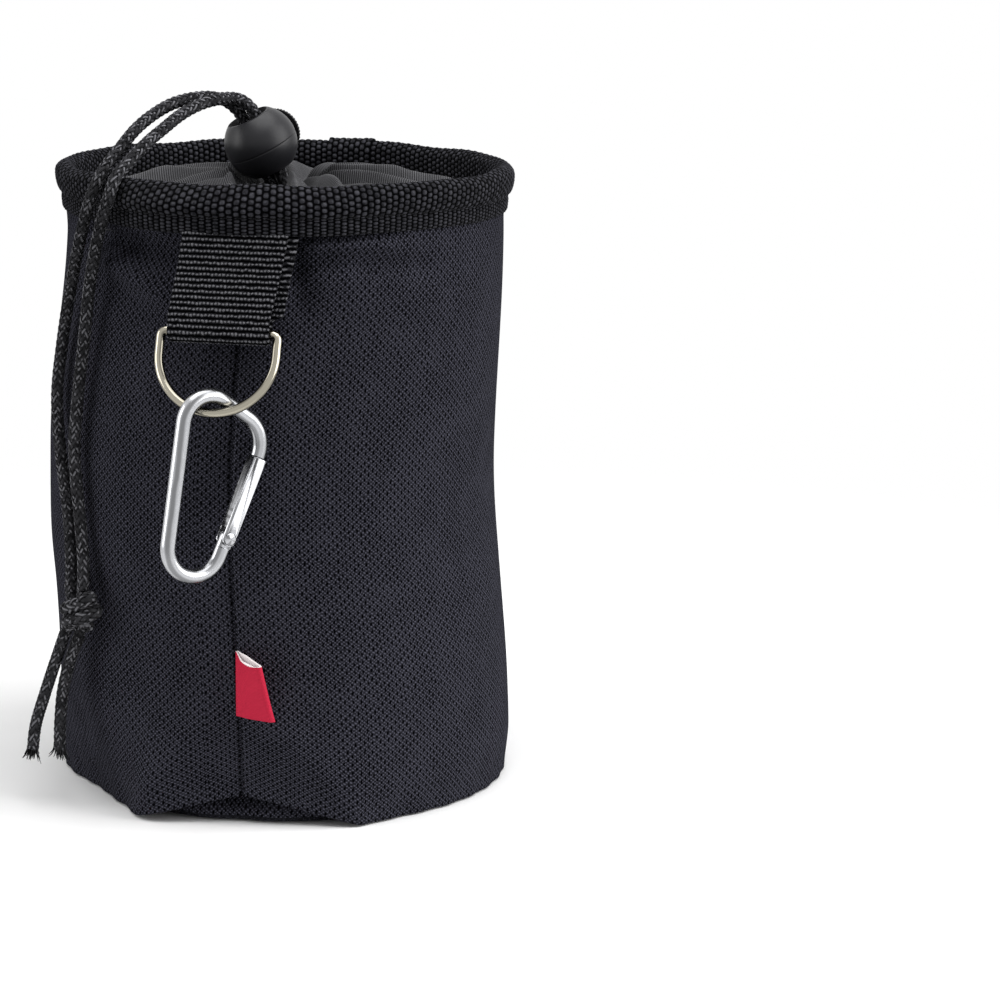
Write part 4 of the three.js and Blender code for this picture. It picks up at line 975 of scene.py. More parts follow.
# %% Spring under the plunger
SPRING_WIRE, SPRING_TURNS, SPRING_KEEP = 0.5, 2, 0.33
SPRING_POINTS, SPRING_SIDES = 97, 10
spring_low = sleeve_floor + FIT + SPRING_WIRE / 2
spring_high = inner - FIT - SPRING_WIRE / 2
wind = np.linspace(0, 1, SPRING_POINTS)
wound = 2 * np.pi * SPRING_TURNS * wind
spring_rise = spring_low + (spring_high - spring_low) * wind
spring_line = np.stack([CORD_PASSAGE * np.cos(wound), spring_rise, CORD_PASSAGE * np.sin(wound)], 1)
spring_path = placed(lock_frame, spring_line)
spring_coil = tube(Mesh(), spring_path, SPRING_WIRE / 2, SPRING_SIDES, np.pi * SPRING_WIRE)
lock_spring = spring_coil.piece("lock_spring", "cord_lock", "spring_steel", "cord_lock_spring")
spring_seat = placed(lock_frame, np.array([[0, sleeve_floor + FIT, 0]]))[0] * MM
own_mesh(lock_spring)

# %% [markdown]
# ## Webbing strap
# A 25 mm ribbed webbing is doubled round the ring's straight side and both plies are caught under the
# binding; the back ply hangs a little to the right of the front one. Its cross ribs are rows of small
# beads, where the warp passes over each rib, so they are in the mesh. The strap could be cut at its hinge,
# but it is made as one ribbon, from under the binding down round the ring and back.

# %% Strap
STRAP_DROP, STRAP_SEWN, STRAP_STANDOFF, STRAP_DRIFT = 21.0, 7.0, 0.6, 3.0
STRAP_SKEW_DEG, STRAP_TWIST_DEG, STRAP_LEAN_DEG = 0.5, 0.5, 6.0
RING_WIRE = 2.2
RIB_PITCH, BEAD_PITCH, RIB_RISE = 1.36, 0.92, 0.4
STRAP_TOP, STRAP_NARROW, STRAP_SPLAY = 8.0, 0.03, 2.3
STRAP_STEPS_PER_RIB, STRAP_COLUMNS, SELVAGE, SELVAGE_THIN, STRAP_SLACK = 6, 108, 0.9, 0.45, 0.04
BEND_FROM, BEND_TO = Vector((0, -57.0, 143.6)), Vector((0, -57.4, 139.2))
strap_hinge = BINDING_LOW - FIT - STRAP_STACK / 2 - STRAP_WIDTH / 2 * np.tan(np.radians(STRAP_SKEW_DEG))
strap_frame = (
    Matrix.Translation((0, -(strap_seat + STRAP + STRAP_STANDOFF), strap_hinge))
    @ turn(STRAP_TWIST_DEG, "Z") @ turn(STRAP_SKEW_DEG, "Y") @ turn(-STRAP_LEAN_DEG, "X")
)


def bezier(a, b, c, d, steps=24):
    t = np.linspace(0, 1, steps)[:, None]
    a, b, c, d = (np.array(p, float) for p in (a, b, c, d))
    return (1 - t) ** 3 * a + 3 * t * (1 - t) ** 2 * b + 3 * t ** 2 * (1 - t) * c + t ** 3 * d


ply = STRAP / 2
bow = RING_WIRE / 2 + FIT + STRAP / 2
flare, parting = -STRAP_DROP + 3 * bow, -STRAP_SEWN - STRAP
fold_arc = np.linspace(np.pi, 2 * np.pi, 30)
ribbon = np.vstack(
    [
        [(0, -ply, z) for z in np.linspace(STRAP_TOP, -STRAP_SEWN, 20)],
        bezier((0, -ply, -STRAP_SEWN), (0, -ply, parting), (0, -bow, flare), (0, -bow, -STRAP_DROP))[1:],
        [(0, bow * np.cos(a), -STRAP_DROP + bow * np.sin(a)) for a in fold_arc[1:]],
        bezier((0, bow, -STRAP_DROP), (0, bow, flare), (0, ply, parting), (0, ply, -STRAP_SEWN))[1:],
        [(0, ply, z) for z in np.linspace(-STRAP_SEWN, STRAP_TOP, 20)[1:]],
    ]
)
ribbon = even_steps(ribbon, RIB_PITCH / STRAP_STEPS_PER_RIB)
ribbon_along = distances(ribbon)
ribbon_tangent = unit(np.gradient(ribbon, axis=0))
ribbon_out = np.stack([0 * ribbon_tangent[:, 0], ribbon_tangent[:, 2], -ribbon_tangent[:, 1]], 1)
ribbon_out *= -np.sign(ribbon_out[0, 1])
across = np.linspace(-STRAP_WIDTH / 2, STRAP_WIDTH / 2, STRAP_COLUMNS)
rib = np.abs(np.sin(np.pi * ribbon_along / RIB_PITCH))[:, None] ** 0.7
odd = (np.floor(ribbon_along / RIB_PITCH) % 2)[:, None]
bead = np.abs(np.sin(np.pi * (across[None] / BEAD_PITCH + 0.5 * odd))) ** 0.8
selvage = smoothstep(STRAP_WIDTH / 2 - np.abs(across), 0, SELVAGE)[None]
valley = 1 - rib * (0.55 + 0.45 * bead)
half = (STRAP / 2 - STRAP_SLACK) * (SELVAGE_THIN + (1 - SELVAGE_THIN) * selvage)


def strap_face(lift):
    """One face of the ribbon, lifted off its middle line and hung in place."""
    points = ribbon[:, None] + ribbon_out[:, None] * lift[..., None]
    points = points + np.stack([across, 0 * across, 0 * across], 1)[None]
    points[..., 1] += smoothstep(points[..., 2], 0, 5) * points[..., 0] ** 2 / (2 * BAG_RADIUS)
    hung = np.clip(-points[..., 2] / (STRAP_DROP - bow - ply), 0, 1)
    points[..., 0] *= 1 - STRAP_NARROW * hung
    aside = STRAP_SPLAY * smoothstep(hung, -0.2, 0.0) * (1 - smoothstep(hung, 0.92, 1))
    points[..., 0] += aside * np.clip(points[..., 1] / ply, 0, 1) - STRAP_DRIFT * hung
    return placed(strap_frame, points.reshape(-1, 3)).reshape(points.shape)


front_face, back_face = strap_face(half - RIB_RISE * valley), strap_face(0.5 * RIB_RISE * valley - half)
strap_points = np.concatenate([front_face, back_face[:, ::-1]], 1)
threads = thread_grid(ribbon_along, np.concatenate([across, across[::-1], across[:1]]))
strap = Mesh().grid(strap_points, threads, False, True, caps=True).piece(
    "webbing_strap", "bag", "webbing", "webbing_loop", "webbing_anchor",
    bends=("strap_loop", BEND_FROM * MM, BEND_TO * MM),
)

# %% [markdown]
# ## D-ring and carabiner
# The ring is bent from 2.2 mm nickel-plated wire. The carabiner is a 3.6 mm aluminium rod bent to a narrow
# hook; its nose and the end at the rivet are milled flat so that a folded sheet gate can close over them.
# Both wires are swept round sections, fine enough to hold a clean highlight, and the flats are made by
# pressing the section's points in. The gate is cut as the real one is: a channel trimmed to its outline.

# %% D-ring
RING_DEPTH, RING_CORNER, RING_BUTT_GAP, RING_TILT_DEG = 19.4, 1.5, 0.5, 18.0
RING_STEP, RING_SIDES = 0.35, 24
ring_frame = strap_frame @ Matrix.Translation((-STRAP_DRIFT, 0, -STRAP_DROP)) @ turn(-RING_TILT_DEG, "X")


def arc_points(centre, radius, start, end, steps=24):
    """Points of an arc in the XZ plane, angles in degrees."""
    angle = np.radians(np.linspace(start, end, steps))
    return np.stack([centre[0] + radius * np.cos(angle), 0 * angle, centre[1] + radius * np.sin(angle)], 1)


ring_half = STRAP_WIDTH / 2 + FIT + RING_WIRE / 2
bow_height = -(RING_DEPTH - ring_half)
ring_line = np.vstack(
    [
        [(-RING_BUTT_GAP / 2, 0, 0)],
        arc_points((-ring_half + RING_CORNER, -RING_CORNER), RING_CORNER, 90, 180, 12),
        arc_points((0, bow_height), ring_half, 180, 360, 80),
        arc_points((ring_half - RING_CORNER, -RING_CORNER), RING_CORNER, 0, 90, 12),
        [(RING_BUTT_GAP / 2, 0, 0)],
    ]
)
ring_mesh = tube(
    Mesh(), placed(ring_frame, even_steps(ring_line, RING_STEP)), RING_WIRE / 2, RING_SIDES, np.pi * RING_WIRE
)
ring = ring_mesh.piece("ring_d", "d_ring", "nickel", "d_ring")

# %% Line of the carabiner
ROD, CARABINER_HEIGHT, BASKET_RADIUS, TOP_BAR, TOP_SLOPE_DEG = 3.6, 42.8, 6.5, 8.3, 27.0
NOSE_BEND, HEEL_BEND, GATE_SLOPE_DEG, NOSE_LENGTH = 8.0, 7.0, 74.0, 4.5
LINK_SLACK, LINK_ASIDE = 1.2, -0.6
CARABINER_YAW_DEG, CARABINER_ROLL_DEG = 42.0, 8.0
GATE_SHEET, GATE_TANG, HINGE_TO_HEEL = 0.6, 1.8, 4.6
ROD_STEP, ROD_SIDES = 0.22, 28
rod_radius = ROD / 2
swing_frame = (
    ring_frame @ Matrix.Translation((0, 0, -RING_DEPTH)) @ turn(RING_TILT_DEG + STRAP_LEAN_DEG, "X")
    @ turn(CARABINER_YAW_DEG, "Z") @ turn(CARABINER_ROLL_DEG, "Y")
)
hook_frame = swing_frame @ Matrix.Translation((LINK_ASIDE, 0, RING_WIRE / 2 + rod_radius + LINK_SLACK))
slope, rake = np.radians(TOP_SLOPE_DEG), np.radians(GATE_SLOPE_DEG)
gate_up = np.array([np.cos(rake), np.sin(rake)])
gate_out = np.array([gate_up[1], -gate_up[0]])
bar_end = np.array(
    [
        BASKET_RADIUS * np.sin(slope) + TOP_BAR * np.cos(slope),
        -BASKET_RADIUS * (1 - np.cos(slope)) - TOP_BAR * np.sin(slope),
    ]
)
nose_centre = bar_end - NOSE_BEND * np.array([np.sin(slope), np.cos(slope)])
bend_end = nose_centre + NOSE_BEND * gate_out
gate_run = (bend_end[1] + CARABINER_HEIGHT - HEEL_BEND * (1 - gate_up[0])) / gate_up[1]
heel_start = bend_end - gate_run * gate_up
heel_centre = heel_start - HEEL_BEND * gate_out
spine_bend = heel_centre[0] + BASKET_RADIUS
rivet_place = heel_start + HINGE_TO_HEEL * gate_up
tang_end = rivet_place + rod_radius * gate_up
nose_end = bend_end - NOSE_LENGTH * gate_up
gate_length = np.linalg.norm(nose_end - rivet_place) + NOSE_LENGTH - FIT
hook_line = np.vstack(
    [
        [(tang_end[0], 0, tang_end[1])],
        arc_points(heel_centre, HEEL_BEND, GATE_SLOPE_DEG - 90, -90, 30),
        arc_points((heel_centre[0], -CARABINER_HEIGHT + spine_bend), spine_bend, -90, -180, 30),
        arc_points((0, -BASKET_RADIUS), BASKET_RADIUS, 180, 90 - TOP_SLOPE_DEG, 40),
        arc_points(nose_centre, NOSE_BEND, 90 - TOP_SLOPE_DEG, GATE_SLOPE_DEG - 90, 24),
        [(nose_end[0], 0, nose_end[1])],
    ]
)
hook_line = even_steps(hook_line, ROD_STEP)
hook_along = distances(hook_line)
to_rivet = Matrix.Translation((rivet_place[0], 0, rivet_place[1])) @ turn(90 - GATE_SLOPE_DEG, "Y")
hinge_frame = hook_frame @ to_rivet
print("length of the bent rod:", round(hook_along[-1], 1))

# %% Carabiner body
# The flats are pressed in the gate's own frame: x out of the gate, y across it and z along it
ROUND_END_LEAST = 0.2
hook_mesh = tube(Mesh(), hook_line, rod_radius, ROD_SIDES, np.pi * ROD)
shape = placed((hook_frame.inverted() @ hinge_frame).inverted(), hook_mesh.points[0])
out, aside, up = np.moveaxis(shape.reshape(len(hook_line), ROD_SIDES, 3), -1, 0)
tang = (hook_along < 2 * rod_radius + 2 * FIT)[:, None]
nose = (hook_along > hook_along[-1] - NOSE_LENGTH - 2 * FIT)[:, None] & (up < gate_length + FIT)
round_end = np.sqrt(np.clip(rod_radius ** 2 - np.clip(up, 0, None) ** 2, ROUND_END_LEAST ** 2, None))
aside = np.where(tang | nose, np.clip(aside, -GATE_TANG / 2, GATE_TANG / 2), aside)
out = np.where(tang, np.clip(out, -round_end, round_end), out)
out = np.where(nose, np.maximum(out, -rod_radius + GATE_SHEET + FIT), out)
hook_mesh.points[0] = placed(hinge_frame, np.stack([out, aside, up], -1).reshape(-1, 3))
carabiner_body = crisp(hook_mesh.piece("hook_body", "carabiner", "aluminium", "carabiner_body"), 40)

# %% Gate
RIVET, RIVET_HEAD, RIVET_HEAD_HEIGHT, RIVET_FIT = 1.8, 3.0, 0.5, 0.2
GATE_EASE, GATE_EASE_DEG, RIVET_SIDES = 0.14, 30.0, 32
cheek = GATE_TANG / 2 + FIT
cheek_out = cheek + GATE_SHEET
lip = rod_radius - FIT
web = -rod_radius + GATE_SHEET


def quarter(centre, radius, start, end, steps=8):
    angle = np.radians(np.linspace(start, end, steps))
    return [(centre[0] + radius * np.cos(a), centre[1] + radius * np.sin(a)) for a in angle]


channel = [(lip, cheek_out)] + quarter((web, cheek_out - GATE_SHEET), GATE_SHEET, 90, 180)
channel += quarter((web, -cheek_out + GATE_SHEET), GATE_SHEET, 180, 270) + [(lip, -cheek_out)]
channel += [(lip, -cheek), (web, -cheek), (web, cheek), (lip, cheek)]
gate = prism(channel, -rod_radius, gate_length).blank("hook_gate", hinge_frame)
side_on = hinge_frame @ turn(90, "X")
trim = quarter((0, 0), rod_radius, 180, 360, 40) + [(rod_radius, gate_length), (-rod_radius, gate_length)]
clear = [(-ROD, -cheek), (0, -cheek), (0, cheek), (-ROD, cheek)]
carved(gate, prism(trim, -ROD, ROD).blank("trim", side_on), operation="INTERSECT")
carved(
    gate,
    prism(clear, -ROD, rod_radius + 2 * FIT).blank("clear", hinge_frame),
    rod(RIVET / 2 + RIVET_FIT, -ROD, ROD, RIVET_SIDES).blank("hole", side_on),
)
gate = eased(gate, GATE_EASE, GATE_EASE_DEG)
carabiner_gate = settle(gate, "carabiner_gate", "aluminium", "carabiner_gate")

# %% Rivet
HEAD_SIDES = 40
head = cheek_out + RIVET_FIT
rivet_half = [(RIVET / 2, head)]
rivet_half += [
    (RIVET_HEAD / 2 * np.cos(a) + 0.02, head + RIVET_HEAD_HEIGHT * np.sin(a))
    for a in np.linspace(0, np.pi / 2, 9)
]
rivet_profile = [(r, -z) for r, z in rivet_half[::-1]] + rivet_half
rivet = crisp(revolved(rivet_profile, HEAD_SIDES).blank("hook_rivet", side_on), 50)
carabiner_rivet = settle(rivet, "carabiner", "aluminium", "carabiner_rivet")

# %% [markdown]
# ## Side tab
# A bare red label tape, folded and caught in the front seam, where its plies are pinched together. It
# stands off the wall, more at the top than at the foot, and the upper edge of its front ply sags, so that
# the white inside shows in a lens-shaped gap. It could be cut from a bent plane; here a folded strip is
# lofted up its height, and each level is turned a little further about the seam.

# %% Tab
TAB_HEIGHT, TAB_LOW, TAB_REACH, TAB_CLOTH, TAB_GAP = 16.0, 28.0, 10.5, 0.5, 0.8
TAB_LIFT_LOW_DEG, TAB_LIFT_HIGH_DEG, TAB_DROOP, TAB_CUT = 24.0, 50.0, 0.16, 1.15
TAB_PROUD, TAB_CURL, TAB_PINCH = 0.9, 0.05, 0.35
tab_bend = (TAB_GAP + TAB_CLOTH) / 2
tab_root = wall_point(np.array(0.0), np.array(TAB_LOW + TAB_HEIGHT / 2)) + (SEAM_ASIDE, -TAB_PROUD, 0)
tab_line = [(x, -tab_bend) for x in np.linspace(0, TAB_REACH - tab_bend, 14)]
tab_line += quarter((TAB_REACH - tab_bend, 0), tab_bend, -90, 90, 12)[1:]
tab_line += [(x, tab_bend) for x in np.linspace(TAB_REACH - tab_bend, 0, 14)[1:]]
tab_line = np.array([(x, y, 0) for x, y in tab_line])
tab_tangent = unit(np.gradient(tab_line, axis=0))
tab_out = np.stack([tab_tangent[:, 1], -tab_tangent[:, 0], 0 * tab_tangent[:, 0]], 1)
tab_loop = np.vstack([tab_line + tab_out * TAB_CLOTH / 2, (tab_line - tab_out * TAB_CLOTH / 2)[::-1]])
tab_up = np.linspace(0, TAB_HEIGHT, 24)
reach_low, reach_high = np.cos(np.radians([TAB_LIFT_LOW_DEG, TAB_LIFT_HIGH_DEG]))
tab_lift = -np.arccos(reach_low + (reach_high - reach_low) * tab_up / TAB_HEIGHT)
fold_at = len(tab_line) // 2
front_ply = 1 - smoothstep(np.arange(len(tab_line)), fold_at - 4, fold_at + 4)
front_ply = np.concatenate([front_ply, front_ply[::-1]])
curl = TAB_CURL * tab_loop[:, 0] ** 2 / TAB_REACH
pinch = TAB_PINCH + (1 - TAB_PINCH) * smoothstep(tab_loop[:, 0], 0.5, 4)
flat_x, flat_y = tab_loop[:, 0][None], (tab_loop[:, 1] * pinch + curl)[None]
sag = TAB_CUT * front_ply * np.sin(np.pi * np.clip(flat_x / TAB_REACH, 0, 1))
fall = (TAB_DROOP * flat_x + sag) * (tab_up / TAB_HEIGHT)[:, None]
cos_lift, sin_lift = np.cos(tab_lift)[:, None], np.sin(tab_lift)[:, None]
tab_points = np.stack(
    [flat_x * cos_lift - flat_y * sin_lift, flat_x * sin_lift + flat_y * cos_lift, tab_up[:, None] - fall], -1
) + np.array([tab_root[0], tab_root[1] - tab_bend, TAB_LOW])
tab_along = np.append(distances(tab_loop), 0)
tab_mesh = Mesh().grid(tab_points, thread_grid(tab_up, tab_along), False, True, caps=True)
side_tab = crisp(tab_mesh.piece("label_tab", "bag", "tab", "side_tab"), 50)

# %% [markdown]
# ## Shader values as plain arithmetic
# Node trees get long when every sum is a node placed by hand. A small wrapper lets a socket be added,
# multiplied and raised like a number, so a weave can be written as the formula that it is. Plain numbers
# stay in Python, and only what changes over the surface becomes a node. One method makes every node: its
# settings are set first, because some of them change which sockets it has, and then its sockets.

# %% Values that take part in sums
class Value:
    """A node's output; a number on either side of an operator becomes the other input."""

    def __init__(self, tree, node, output=0):
        self.tree, self.node = tree, node
        self.socket = node.outputs[output] if node.outputs else None

    def math(self, operation, *others):
        return self.tree.node("Math", {"operation": operation}, dict(enumerate((self,) + others)))

    def flipped(self, operation, other):
        return self.tree.node("Math", {"operation": operation}, {0: other, 1: self})

    def __add__(self, other):
        return self.math("ADD", other)

    def __sub__(self, other):
        return self.math("SUBTRACT", other)

    def __rsub__(self, other):
        return self.flipped("SUBTRACT", other)

    def __mul__(self, other):
        return self.math("MULTIPLY", other)

    def __truediv__(self, other):
        return self.math("DIVIDE", other)

    def __rtruediv__(self, other):
        return self.flipped("DIVIDE", other)

    def __pow__(self, other):
        return self.math("POWER", other)

    def __rpow__(self, other):
        return self.flipped("POWER", other)

    __radd__, __rmul__ = __add__, __mul__

    def sine(self):
        return self.math("SINE")

    def wave(self, pitch, phase=None):
        """A sine with one wave to a pitch, moved along by a phase."""
        turned = self * (2 * np.pi / pitch)
        return (turned if phase is None else turned + phase).sine()

    def above(self, low):
        return self.math("MAXIMUM", low)

    def size(self):
        return self.math("ABSOLUTE")

    def floor(self):
        return self.math("FLOOR")

    def fraction(self):
        return self.math("FRACT")

    def every_other(self):
        """0 and a half by turns, from one whole number to the next."""
        return (self.floor() * 0.5).fraction()

    def ramp(self, low, high):
        settings = {"interpolation_type": "SMOOTHSTEP"}
        return self.tree.node("MapRange", settings, {"Value": self, "From Min": low, "From Max": high})


class Tree:
    """A node tree, emptied, to which nodes are added."""

    def __init__(self, owner):
        owner.use_nodes = True
        self.tree = owner.node_tree
        self.tree.nodes.clear()

    def node(self, kind, settings=None, inputs=None, output=0):
        made = self.tree.nodes.new("ShaderNode" + kind)
        for key, value in (settings or {}).items():
            setattr(made, key, value)
        for key, value in (inputs or {}).items():
            self.join(made.inputs[key], value)
        return Value(self, made, output)

    def join(self, socket, value):
        if isinstance(value, Value):
            self.tree.links.new(value.socket, socket)
        else:
            socket.default_value = value


print("operators on a shader value:", [name for name in vars(Value) if name.startswith("__r")])

# %% Colours and finishes
PATCH_LOW, PATCH_HIGH = 0.3, 0.7


def tint(red, green, blue):
    """A colour as it looks on screen, 0 to 255, turned to the linear values that shaders use."""
    share = np.array([red, green, blue]) / 255
    linear = np.where(share <= 0.04045, share / 12.92, ((share + 0.055) / 1.055) ** 2.4)
    return (*linear.tolist(), 1.0)


def shade(colour, factor):
    return (*(c * factor for c in colour[:3]), 1.0)


class Finish(Tree):
    """A material with one Principled shader, whose constants are set at the start."""

    def __init__(self, name, **constants):
        self.material = bpy.data.materials.new(name)
        super().__init__(self.material)
        self.shader = self.node("BsdfPrincipled")
        self.out = self.node("OutputMaterial", None, {0: self.shader})
        self.feed(**constants)

    def feed(self, **values):
        for key, value in values.items():
            self.join(self.shader.node.inputs[key.replace("_", " ")], value)
        return self

    def mix(self, factor, first, second):
        return self.node("Mix", {"data_type": "RGBA"}, {0: factor, 6: first, 7: second}, 2)

    def threads(self):
        """Along and across the threads, in millimetres, from the map that the grids carry."""
        along = self.node("SeparateXYZ", None, {0: self.node("UVMap", {"uv_map": THREAD_MAP})})
        return along, Value(self, along.node, 1)

    def grain(self, size, detail=2.0):
        """Noise in the object's own space, size in millimetres."""
        place = self.node("TexCoord", output="Object")
        return self.node("TexNoise", None, {"Vector": place, "Scale": 1 / (size * MM), "Detail": detail})

    def uneven(self, colour, size, low, high, detail=2.0):
        """A colour that drifts between two shades, over patches of a size."""
        patches = self.grain(size, detail).ramp(PATCH_LOW, PATCH_HIGH)
        return self.mix(patches, shade(colour, low), shade(colour, high))

    def relief(self, height, depth, strength=1.0):
        return self.node("Bump", None, {"Height": height, "Distance": depth * MM, "Strength": strength})

    def wear(self, *pieces):
        for each in pieces:
            each.data.materials.clear()
            each.data.materials.append(self.material)
        print(f"{self.material.name}: {len(self.tree.nodes)} nodes on {len(pieces)} pieces")

    def wear_on(self, piece, faces):
        """Puts the finish on some faces of a piece that has one already."""
        piece.data.materials.append(self.material)
        piece.data.polygons.foreach_set("material_index", faces.astype(np.int32))
        print(f"{self.material.name}: {int(faces.sum())} faces of {piece.name}")


def yarns(name, roughness, sheen, sheen_roughness, specular=0.0):
    """A finish for cloth or cord, with hardly any gloss of its own."""
    return Finish(
        name,
        Roughness=roughness,
        Sheen_Weight=sheen,
        Sheen_Roughness=sheen_roughness,
        Specular_IOR_Level=specular,
    )


print("middle grey on screen is", round(tint(128, 128, 128)[0], 3), "to a shader")

# %% [markdown]
# ## Woven cloth
# A coarse weave in dark slate polyester: each yarn is about a millimetre wide, and small upright pits show
# between the yarns, staggered from one column to the next; they are painted near black as shade. Here and
# there a yarn's crown has a painted highlight, a pale glint. The pits are ovals in staggered cells, and the
# painted glints are the peaks of two sines, put out of step by a slow noise. A bump carries both, because at
# this size they are too fine to be worth meshing over the whole wall. The sheen is low, since more of it
# would hide the weave at the edges.

# %% Cloth
YARN_PITCH, PIT_WIDTH, PIT_HEIGHT = 1.03, 0.5, 0.92
GLINT_ROUND_PITCH, GLINT_UP_PITCH = 1.1, 0.9
cloth_colour = tint(37, 37, 43)
cloth = yarns("slate_cloth", 0.9, 0.02, 0.35)
up_wall, round_bag = cloth.threads()
loose = cloth.grain(1.9) * 0.7 - 0.35
column = round_bag / YARN_PITCH + loose
row = up_wall / (2 * YARN_PITCH) + loose + column.every_other()
beside = (column.fraction() - 0.5) * (2 * YARN_PITCH / PIT_WIDTH)
above = (row.fraction() - 0.5) * (4 * YARN_PITCH / PIT_HEIGHT)
# Painted shade: the pits between the yarns are painted near black.
pits = 1 - (beside * beside + above * above).ramp(0.25, 1.7)
pits = pits * cloth.grain(1.4).ramp(0.12, 0.42)
stray = cloth.grain(1.9, 0.0) * 4.5
# Painted highlight: pale glints on the yarns' crowns, which the bump also raises a little.
painted_fleck_glint = round_bag.wave(GLINT_ROUND_PITCH, stray) * up_wall.wave(GLINT_UP_PITCH, stray * -1)
yarn_light = cloth.mix(
    painted_fleck_glint.above(0.0) * 1.4, cloth.uneven(cloth_colour, 9.0, 0.6, 1.0, 3.0), shade(cloth_colour, 3.7)
)
cloth.feed(Base_Color=cloth.mix(pits, yarn_light, tint(3, 3, 5)))
cloth.feed(Normal=cloth.relief(painted_fleck_glint * 0.25 - pits, 0.3))
cloth.wear(bag_wall, base)

# %% [markdown]
# ## Binding tape, webbing and thread
# These three are nylon yarns with a little more lustre than the cloth. The larger cells are already in the
# mesh. The finish repeats their formulas, to paint shade into the valleys between them, where light hardly
# reaches, and adds the filaments that run along each yarn. On the webbing it also paints a highlight on
# each bead's crown.

# %% Binding tape
FILAMENTS_PER_CELL = 6
tape_colour = tint(46, 46, 50)
tape = yarns("tape_weave", 0.8, 0.04, 0.4)
tape_row, tape_column = tape.threads()
unsteady = tape.grain(2.4) * 0.3 - 0.15
staggered = tape_row + tape_column.every_other() + unsteady
cell = ((staggered * np.pi).sine() * (tape_column * np.pi).sine()).size()
filaments = tape_column.wave(1 / FILAMENTS_PER_CELL, tape.grain(1.4) * 5.0)
cell_light = tape.uneven(tape_colour, 1.5, 0.6, 1.9)
# Painted shade: the gaps between the cells are painted near black.
tape.feed(Base_Color=tape.mix(cell.ramp(0.16, 0.72), tint(4, 4, 5), cell_light))
tape.feed(Normal=tape.relief(cell + filaments * 0.06, 0.45, 0.8))
tape.wear(binding)

# %% Webbing
webbing = yarns("webbing_weave", 0.7, 0.03, 0.4)
along_strap, across_strap = webbing.threads()
wander = webbing.grain(1.1) * 1.9 - 0.95
rib_line = (along_strap * (np.pi / RIB_PITCH) + wander).sine().size()
rib_odd = (along_strap / RIB_PITCH).every_other()
bead_line = ((across_strap / BEAD_PITCH + rib_odd) * np.pi + wander).sine().size()
# Painted highlight: each bead's crown is painted pale, and the rib valleys near black as painted shade.
crown = rib_line ** 3.0 * (bead_line * 0.75 + 0.25)
body_light = webbing.mix(rib_line.ramp(0.3, 0.9), tint(3, 3, 4), tint(34, 34, 37))
webbing.feed(Base_Color=webbing.mix(crown.ramp(0.3, 0.95), body_light, tint(110, 110, 114)))
webbing.feed(Normal=webbing.relief(rib_line * 0.7 + crown * 0.5, 0.4, 0.8))
webbing.wear(strap)

# %% Sewing thread
THREAD_TWIST = 0.5
thread = Finish("sewing_thread", Roughness=0.7, Specular_IOR_Level=0.05)
along_thread, round_thread = thread.threads()
twist = along_thread.wave(THREAD_TWIST, round_thread * (2 * np.pi))
thread.feed(Base_Color=thread.mix(twist.ramp(-0.6, 0.8), tint(8, 8, 9), tint(26, 26, 28)))
thread.wear(binding_stitches)

# %% [markdown]
# ## Cord and nylon
# Each yarn of the braid is a bundle of filaments, lit along its crown, with a bright painted glint here and
# there, and painted near black as shade where it dives under its neighbours. The cut ends are the same
# filaments let loose. The collar is a thin grey nylon with a fine rib and a slight silky gloss, lighter than
# anything else on the bag, and painted darker towards the hem as shade in its gathers. Both could be plain
# grey with a bump, but then the chevrons would be lost.

# %% Cord
FILAMENTS_PER_YARN = 7
cord_colour = tint(44, 44, 46)
cord = yarns("cord_yarn", 0.7, 0.03, 0.4)
along_yarn, round_yarn = cord.threads()
yarn_top = round_yarn.wave(1.0, np.pi / 2)
filaments = round_yarn.wave(1 / FILAMENTS_PER_YARN, along_yarn * 1.2)
# Painted glints: bright spots on the yarns' crowns.
painted_cord_glint = yarn_top.ramp(0.78, 1.0) * cord.grain(1.2, 0.0).ramp(0.5, 0.6)
yarn_shade = cord.mix(painted_cord_glint, cord.uneven(cord_colour, 3.0, 0.8, 1.7), shade(cord_colour, 6.5))
# Painted shade: near black where each yarn dives under its neighbours.
cord.feed(Base_Color=cord.mix(yarn_top.ramp(-0.15, 0.9), tint(3, 3, 4), yarn_shade))
cord.feed(Normal=cord.relief(filaments, 0.06, 0.7))
cord.wear(*cords.values(), knot_piece, loop_piece, *tufts.values())

# %% Collar nylon
RIB_SPACING, GATHER_SHADE = 0.56, 11.0
nylon_colour = tint(92, 92, 95)
nylon = yarns("collar_nylon", 0.6, 0.05, 0.35, 0.05)
in_collar, _ = nylon.threads()
ribs = in_collar.wave(RIB_SPACING, nylon.grain(5.0) * 2.0)
silk = nylon.uneven(nylon_colour, 9.0, 0.8, 1.2, 1.0)
silk = nylon.mix(ribs.ramp(-0.5, 0.9) * 0.8, shade(nylon_colour, 0.22), silk)
# Painted shade: the nylon is painted darker towards the hem, where its gathers shade it.
painted_gather_shade = in_collar.ramp(collar_along[-1] - GATHER_SHADE, collar_along[-1] - 1.0)
nylon.feed(Base_Color=nylon.mix(painted_gather_shade * 0.85, silk, tint(12, 12, 13)))
nylon.feed(Normal=nylon.relief(ribs, 0.12, 0.6))
nylon.wear(collar, hem)

# %% [markdown]
# ## Plastic and metals
# The lock is satin moulded plastic: even black with a soft gloss, a fine parting line painted dark as shade
# in its groove, and the slight unevenness of a mould. The wires were drawn through dies, which leaves fine
# lines along them that are felt; the few broad dark bands along them are painted reflections of dark
# surroundings. Nickel adds a warm cast and a closer polish. Roughness changes a little over each, since even
# metal looks computed when it is uniform.

# %% Plastic
MOULD_GRAIN, MOULD_DEPTH = 0.35, 0.03


def moulded(name, gloss, specular, **constants):
    """Moulded plastic, whose roughness wavers a little above gloss."""
    made = Finish(name, Specular_IOR_Level=specular, **constants)
    return made.feed(Roughness=made.grain(1.2, 4.0) * 0.16 + gloss)


